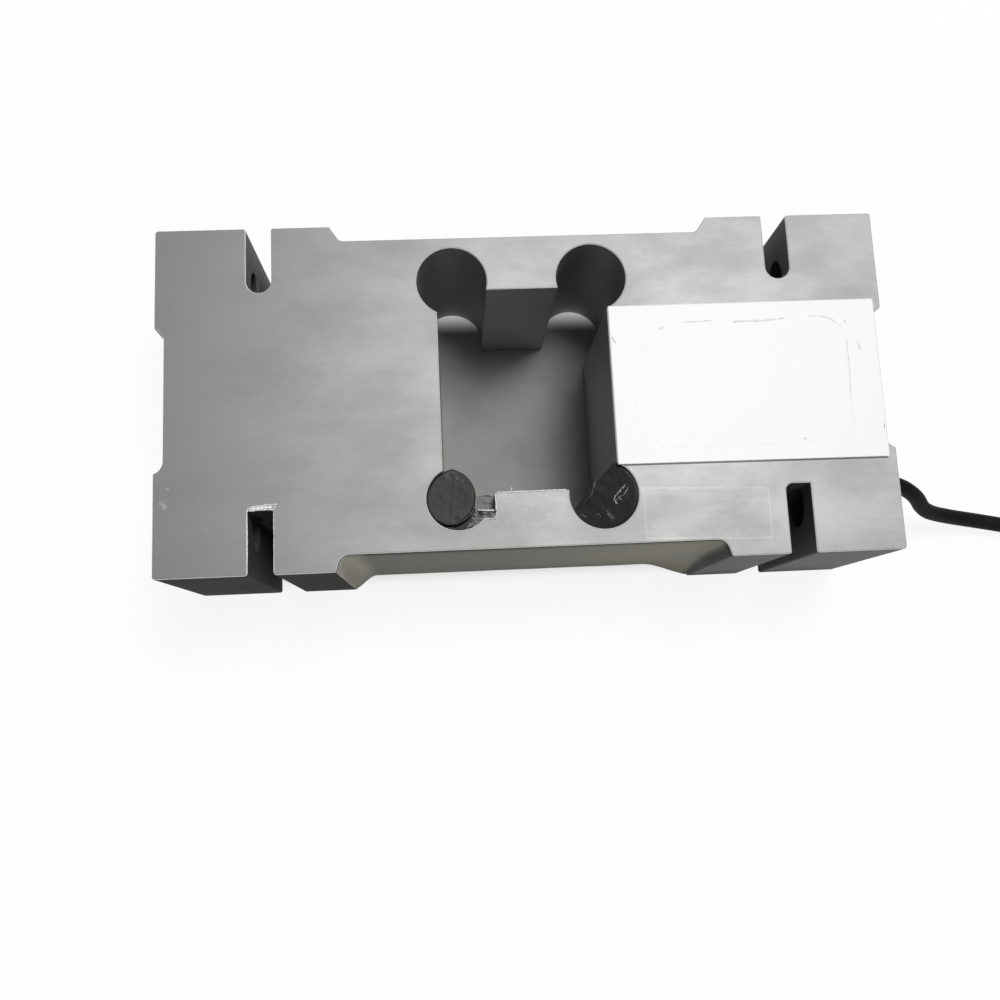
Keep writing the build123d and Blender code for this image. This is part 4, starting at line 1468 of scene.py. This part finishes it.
    def relief(self) -> bpy.types.Object:
        """Make the strain relief: a profile of sleeve, rim and round nose turned about the cable's axis.

        Returns:
            The relief.
        """
        profile = np.array([(79.3, 2.16), (79.3, 3.44), (86.2, 3.44), (87.0, 3.42), (87.5, 3.36), (88.2, 3.18),
                            (88.7, 3.0), (88.93, 2.75), (89.0, 2.45), (88.98, 2.2), (88.7, 2.14)])
        turn = np.linspace(0, 2 * np.pi, 64, endpoint=False)
        x = np.broadcast_to(profile[:, :1], (len(profile), 64))
        y = self.axis[0] + profile[:, 1:] * np.cos(turn)
        z = self.axis[1] + profile[:, 1:] * np.sin(turn)
        finish = Elastomer((0.012, 0.012, 0.013), (0.02, 0.02, 0.021), 0.45)
        mesh = ring_stack("strain_relief_sleeve", np.stack([x, y, z], -1), looped=True)
        return place(mesh, finish.dress("relief_rubber"), "relief_rubber", "strain_relief")

    def build(self) -> None:
        cable = self.lay_cable()
        wires = self.strip_cores()
        self.relief()


@dataclass
class InnerParts:
    """Finishes of the parts inside the circuit pocket and the two lower holes."""

    finishes: dict[str, tuple[SmallPart, tuple[str, ...]]] = field(default_factory=lambda: {
        "cover_plate": (SmallPart((0.4, 0.4, 0.39), (0.52, 0.52, 0.5), 0.38, 0.9, (30.0, 2200.0, 2200.0)),
                        ("circuit_cover",)),
        "adhesive_film": (SmallPart((0.66, 0.66, 0.64), (0.78, 0.78, 0.76), 0.6), ("cover_gasket",)),
        "cell_foam": (SmallPart((0.14, 0.14, 0.15), (0.28, 0.28, 0.29), 0.9, 0.0, (2400.0, 2400.0, 2400.0), 0.12),
                      ("board_pad",)),
        "green_board": (SmallPart((0.01, 0.11, 0.04), (0.02, 0.17, 0.06), 0.3, 0.0, (150.0, 900.0, 400.0)),
                        ("circuit_board",)),
        "resistor_lacquer": (SmallPart((0.5, 0.4, 0.24), (0.62, 0.52, 0.34), 0.35),
                             ("zero_resistor", "span_resistor")),
        "wound_bobbin": (SmallPart((0.32, 0.12, 0.04), (0.6, 0.3, 0.12), 0.4, 0.5, (20.0, 20.0, 5200.0), 0.08),
                         ("temperature_resistor",)),
        "chip_ceramic": (SmallPart((0.02, 0.02, 0.02), (0.06, 0.06, 0.06), 0.5), ("input_resistor",)),
        "loom_sleeve": (SmallPart((0.66, 0.66, 0.6), (0.8, 0.8, 0.74), 0.45), ("bridge_loom", "signal_loom")),
        "gauge_foil": (SmallPart((0.35, 0.16, 0.04), (0.7, 0.45, 0.2), 0.35, 0.4, (2600.0, 200.0, 200.0)),
                       ("gauge_left_back", "gauge_left_front", "gauge_right_back", "gauge_right_front")),
        "copper_strip": (SmallPart((0.5, 0.3, 0.14), (0.68, 0.45, 0.24), 0.35, 0.6, (60.0, 3000.0, 200.0)),
                         ("terminal_left", "terminal_right")),
        "core_sleeve": (SmallPart((0.4, 0.4, 0.4), (0.52, 0.52, 0.52), 0.45), ("cable_cores",)),
        "turned_brass": (SmallPart((0.5, 0.36, 0.14), (0.66, 0.5, 0.24), 0.28, 0.95, (5200.0, 40.0, 40.0)),
                         ("cable_ferrule",)),
        "inner_jacket": (SmallPart((0.01, 0.01, 0.012), (0.02, 0.02, 0.022), 0.5), ("cable_inner",)),
    })

    def build(self) -> None:
        """Give each carried-over part its material."""
        for name, (finish, nodes) in self.finishes.items():
            material = finish.dress(name)
            for node in nodes:
                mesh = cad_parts[node].data
                mesh.materials.clear()
                mesh.materials.append(material)
            LOG.info("%s on %s", name, ", ".join(nodes))


@dataclass
class Studio:
    """Plain pale floor, soft lamps and the camera at the photograph's angle."""

    eye: Point = (-0.0191, -0.0659, 0.2815)
    right: Point = (0.99809, -0.04605, 0.04111)
    up: Point = (0.03855, 0.98514, 0.16740)
    gaze: Point = (0.04821, 0.16550, -0.98503)
    focal_pixels: float = 1018.678
    picture_pixels: float = 1000.0
    sensor: float = 36.0
    ambient: float = 0.17
    key_power: float = 38.6
    key_size: float = 0.8
    whitening: float = 0.9
    floor_half: float = 3.0
    ground: Color = (0.97, 0.97, 0.97)
    bench_shaded: Color = (0.29, 0.284, 0.274)
    bench_mark: Color = (0.22, 0.215, 0.207)
    key_distance: float = 2.2
    key_way: Point = (0.208, 0.24, 0.945)

    def set_camera(self) -> None:
        """Place the camera from its three axes."""
        lens = bpy.data.cameras.new("view_from_above")
        lens.sensor_width = self.sensor
        lens.lens = self.focal_pixels * self.sensor / self.picture_pixels
        lens.clip_start = 0.01
        camera = bpy.data.objects.new("view_from_above", lens)
        columns = [Vector(self.right), Vector(self.up), -Vector(self.gaze)]
        turn = Matrix([[c[i] for c in columns] for i in range(3)])
        camera.matrix_world = Matrix.Translation(self.eye) @ turn.to_4x4()
        bpy.context.scene.collection.objects.link(camera)
        bpy.context.scene.camera = camera

    def lay_floor(self) -> None:
        """Lay the pale floor: white around the cell, and under it the bench's warm grey, darker than the bench as
        painted shade, where it shows in the window. What the camera and the reflections see of the white is mostly
        plain white, and the rest is lit, so that the cell keeps its shadow."""
        mesh = bpy.data.meshes.new("floor")
        half = self.floor_half
        mesh.from_pydata([(-half, -half, 0), (half, -half, 0), (half, half, 0), (-half, half, 0)], [], [(0, 1, 2, 3)])
        floor = bpy.data.objects.new("floor", mesh)
        bpy.context.scene.collection.objects.link(floor)
        shade = Shade("pale_floor")
        # painted shade: the bench under the cell is darker grey than the white floor around it
        under = shade.times(shade.band(Axis.X, -80.0, 80.0, 6.0), shade.band(Axis.Y, -36.0, 36.0, 6.0))
        marks = shade.ranged(shade.noise(70.0, 3.0), 0.45, 0.75, 0.0, 0.6)
        shaded_bench = shade.mix(marks, self.bench_shaded, self.bench_mark)
        shade.set(Base_Color=shade.mix(under, self.ground, shaded_bench), Roughness=0.9, Specular_IOR_Level=0.2)
        rays = shade.tree.nodes.new("ShaderNodeLightPath").outputs
        seen = shade.most(rays["Is Camera Ray"], rays["Is Glossy Ray"])
        seen = shade.most(seen, rays["Is Transmission Ray"])
        share = shade.times(seen, shade.sums("SUBTRACT", 1.0, under, True))
        white = shade.tree.nodes.new("ShaderNodeEmission")
        white.inputs["Strength"].default_value = 1.0
        blend = shade.tree.nodes.new("ShaderNodeMixShader")
        shade.feed(blend.inputs[0], shade.times(share, self.whitening))
        shade.tree.links.new(shade.shader.outputs["BSDF"], blend.inputs[1])
        shade.tree.links.new(white.outputs["Emission"], blend.inputs[2])
        output = next(n for n in shade.tree.nodes if n.type == "OUTPUT_MATERIAL")
        shade.tree.links.new(blend.outputs["Shader"], output.inputs["Surface"])
        mesh.materials.append(shade.material)

    def set_lights(self) -> None:
        """Set the world's even light and the large overhead lamp."""
        world = bpy.data.worlds.new("studio")
        bpy.context.scene.world = world
        world.use_nodes = True
        back = world.node_tree.nodes["Background"]
        back.inputs["Color"].default_value = (1, 1, 1, 1)
        back.inputs["Strength"].default_value = self.ambient
        lamp = bpy.data.lights.new("soft_key", "AREA")
        lamp.shape = "SQUARE"
        lamp.size = self.key_size
        lamp.energy = self.key_power
        key = bpy.data.objects.new("soft_key", lamp)
        way = Vector(self.key_way).normalized()
        key.location = way * self.key_distance
        key.rotation_euler = way.to_track_quat("Z", "Y").to_euler()
        bpy.context.scene.collection.objects.link(key)

    def build(self) -> None:
        """Make the studio."""
        self.set_camera()
        self.lay_floor()
        self.set_lights()
        bpy.context.scene.view_settings.view_transform = "Standard"


def main() -> None:
    """Build the studio and every piece of the cell."""
    logging.basicConfig(level=logging.INFO, format="%(message)s")
    Studio().build()
    SignalCable().build()
    MachinedBlock().build()
    TappedThreads().build()
    SlotBurrs().build()
    FiledLedge().build()
    CoverLabel().build()
    RecessCoat().build()
    HoleSeals().build()
    InnerParts().build()


if __name__ == "__main__":
    main()
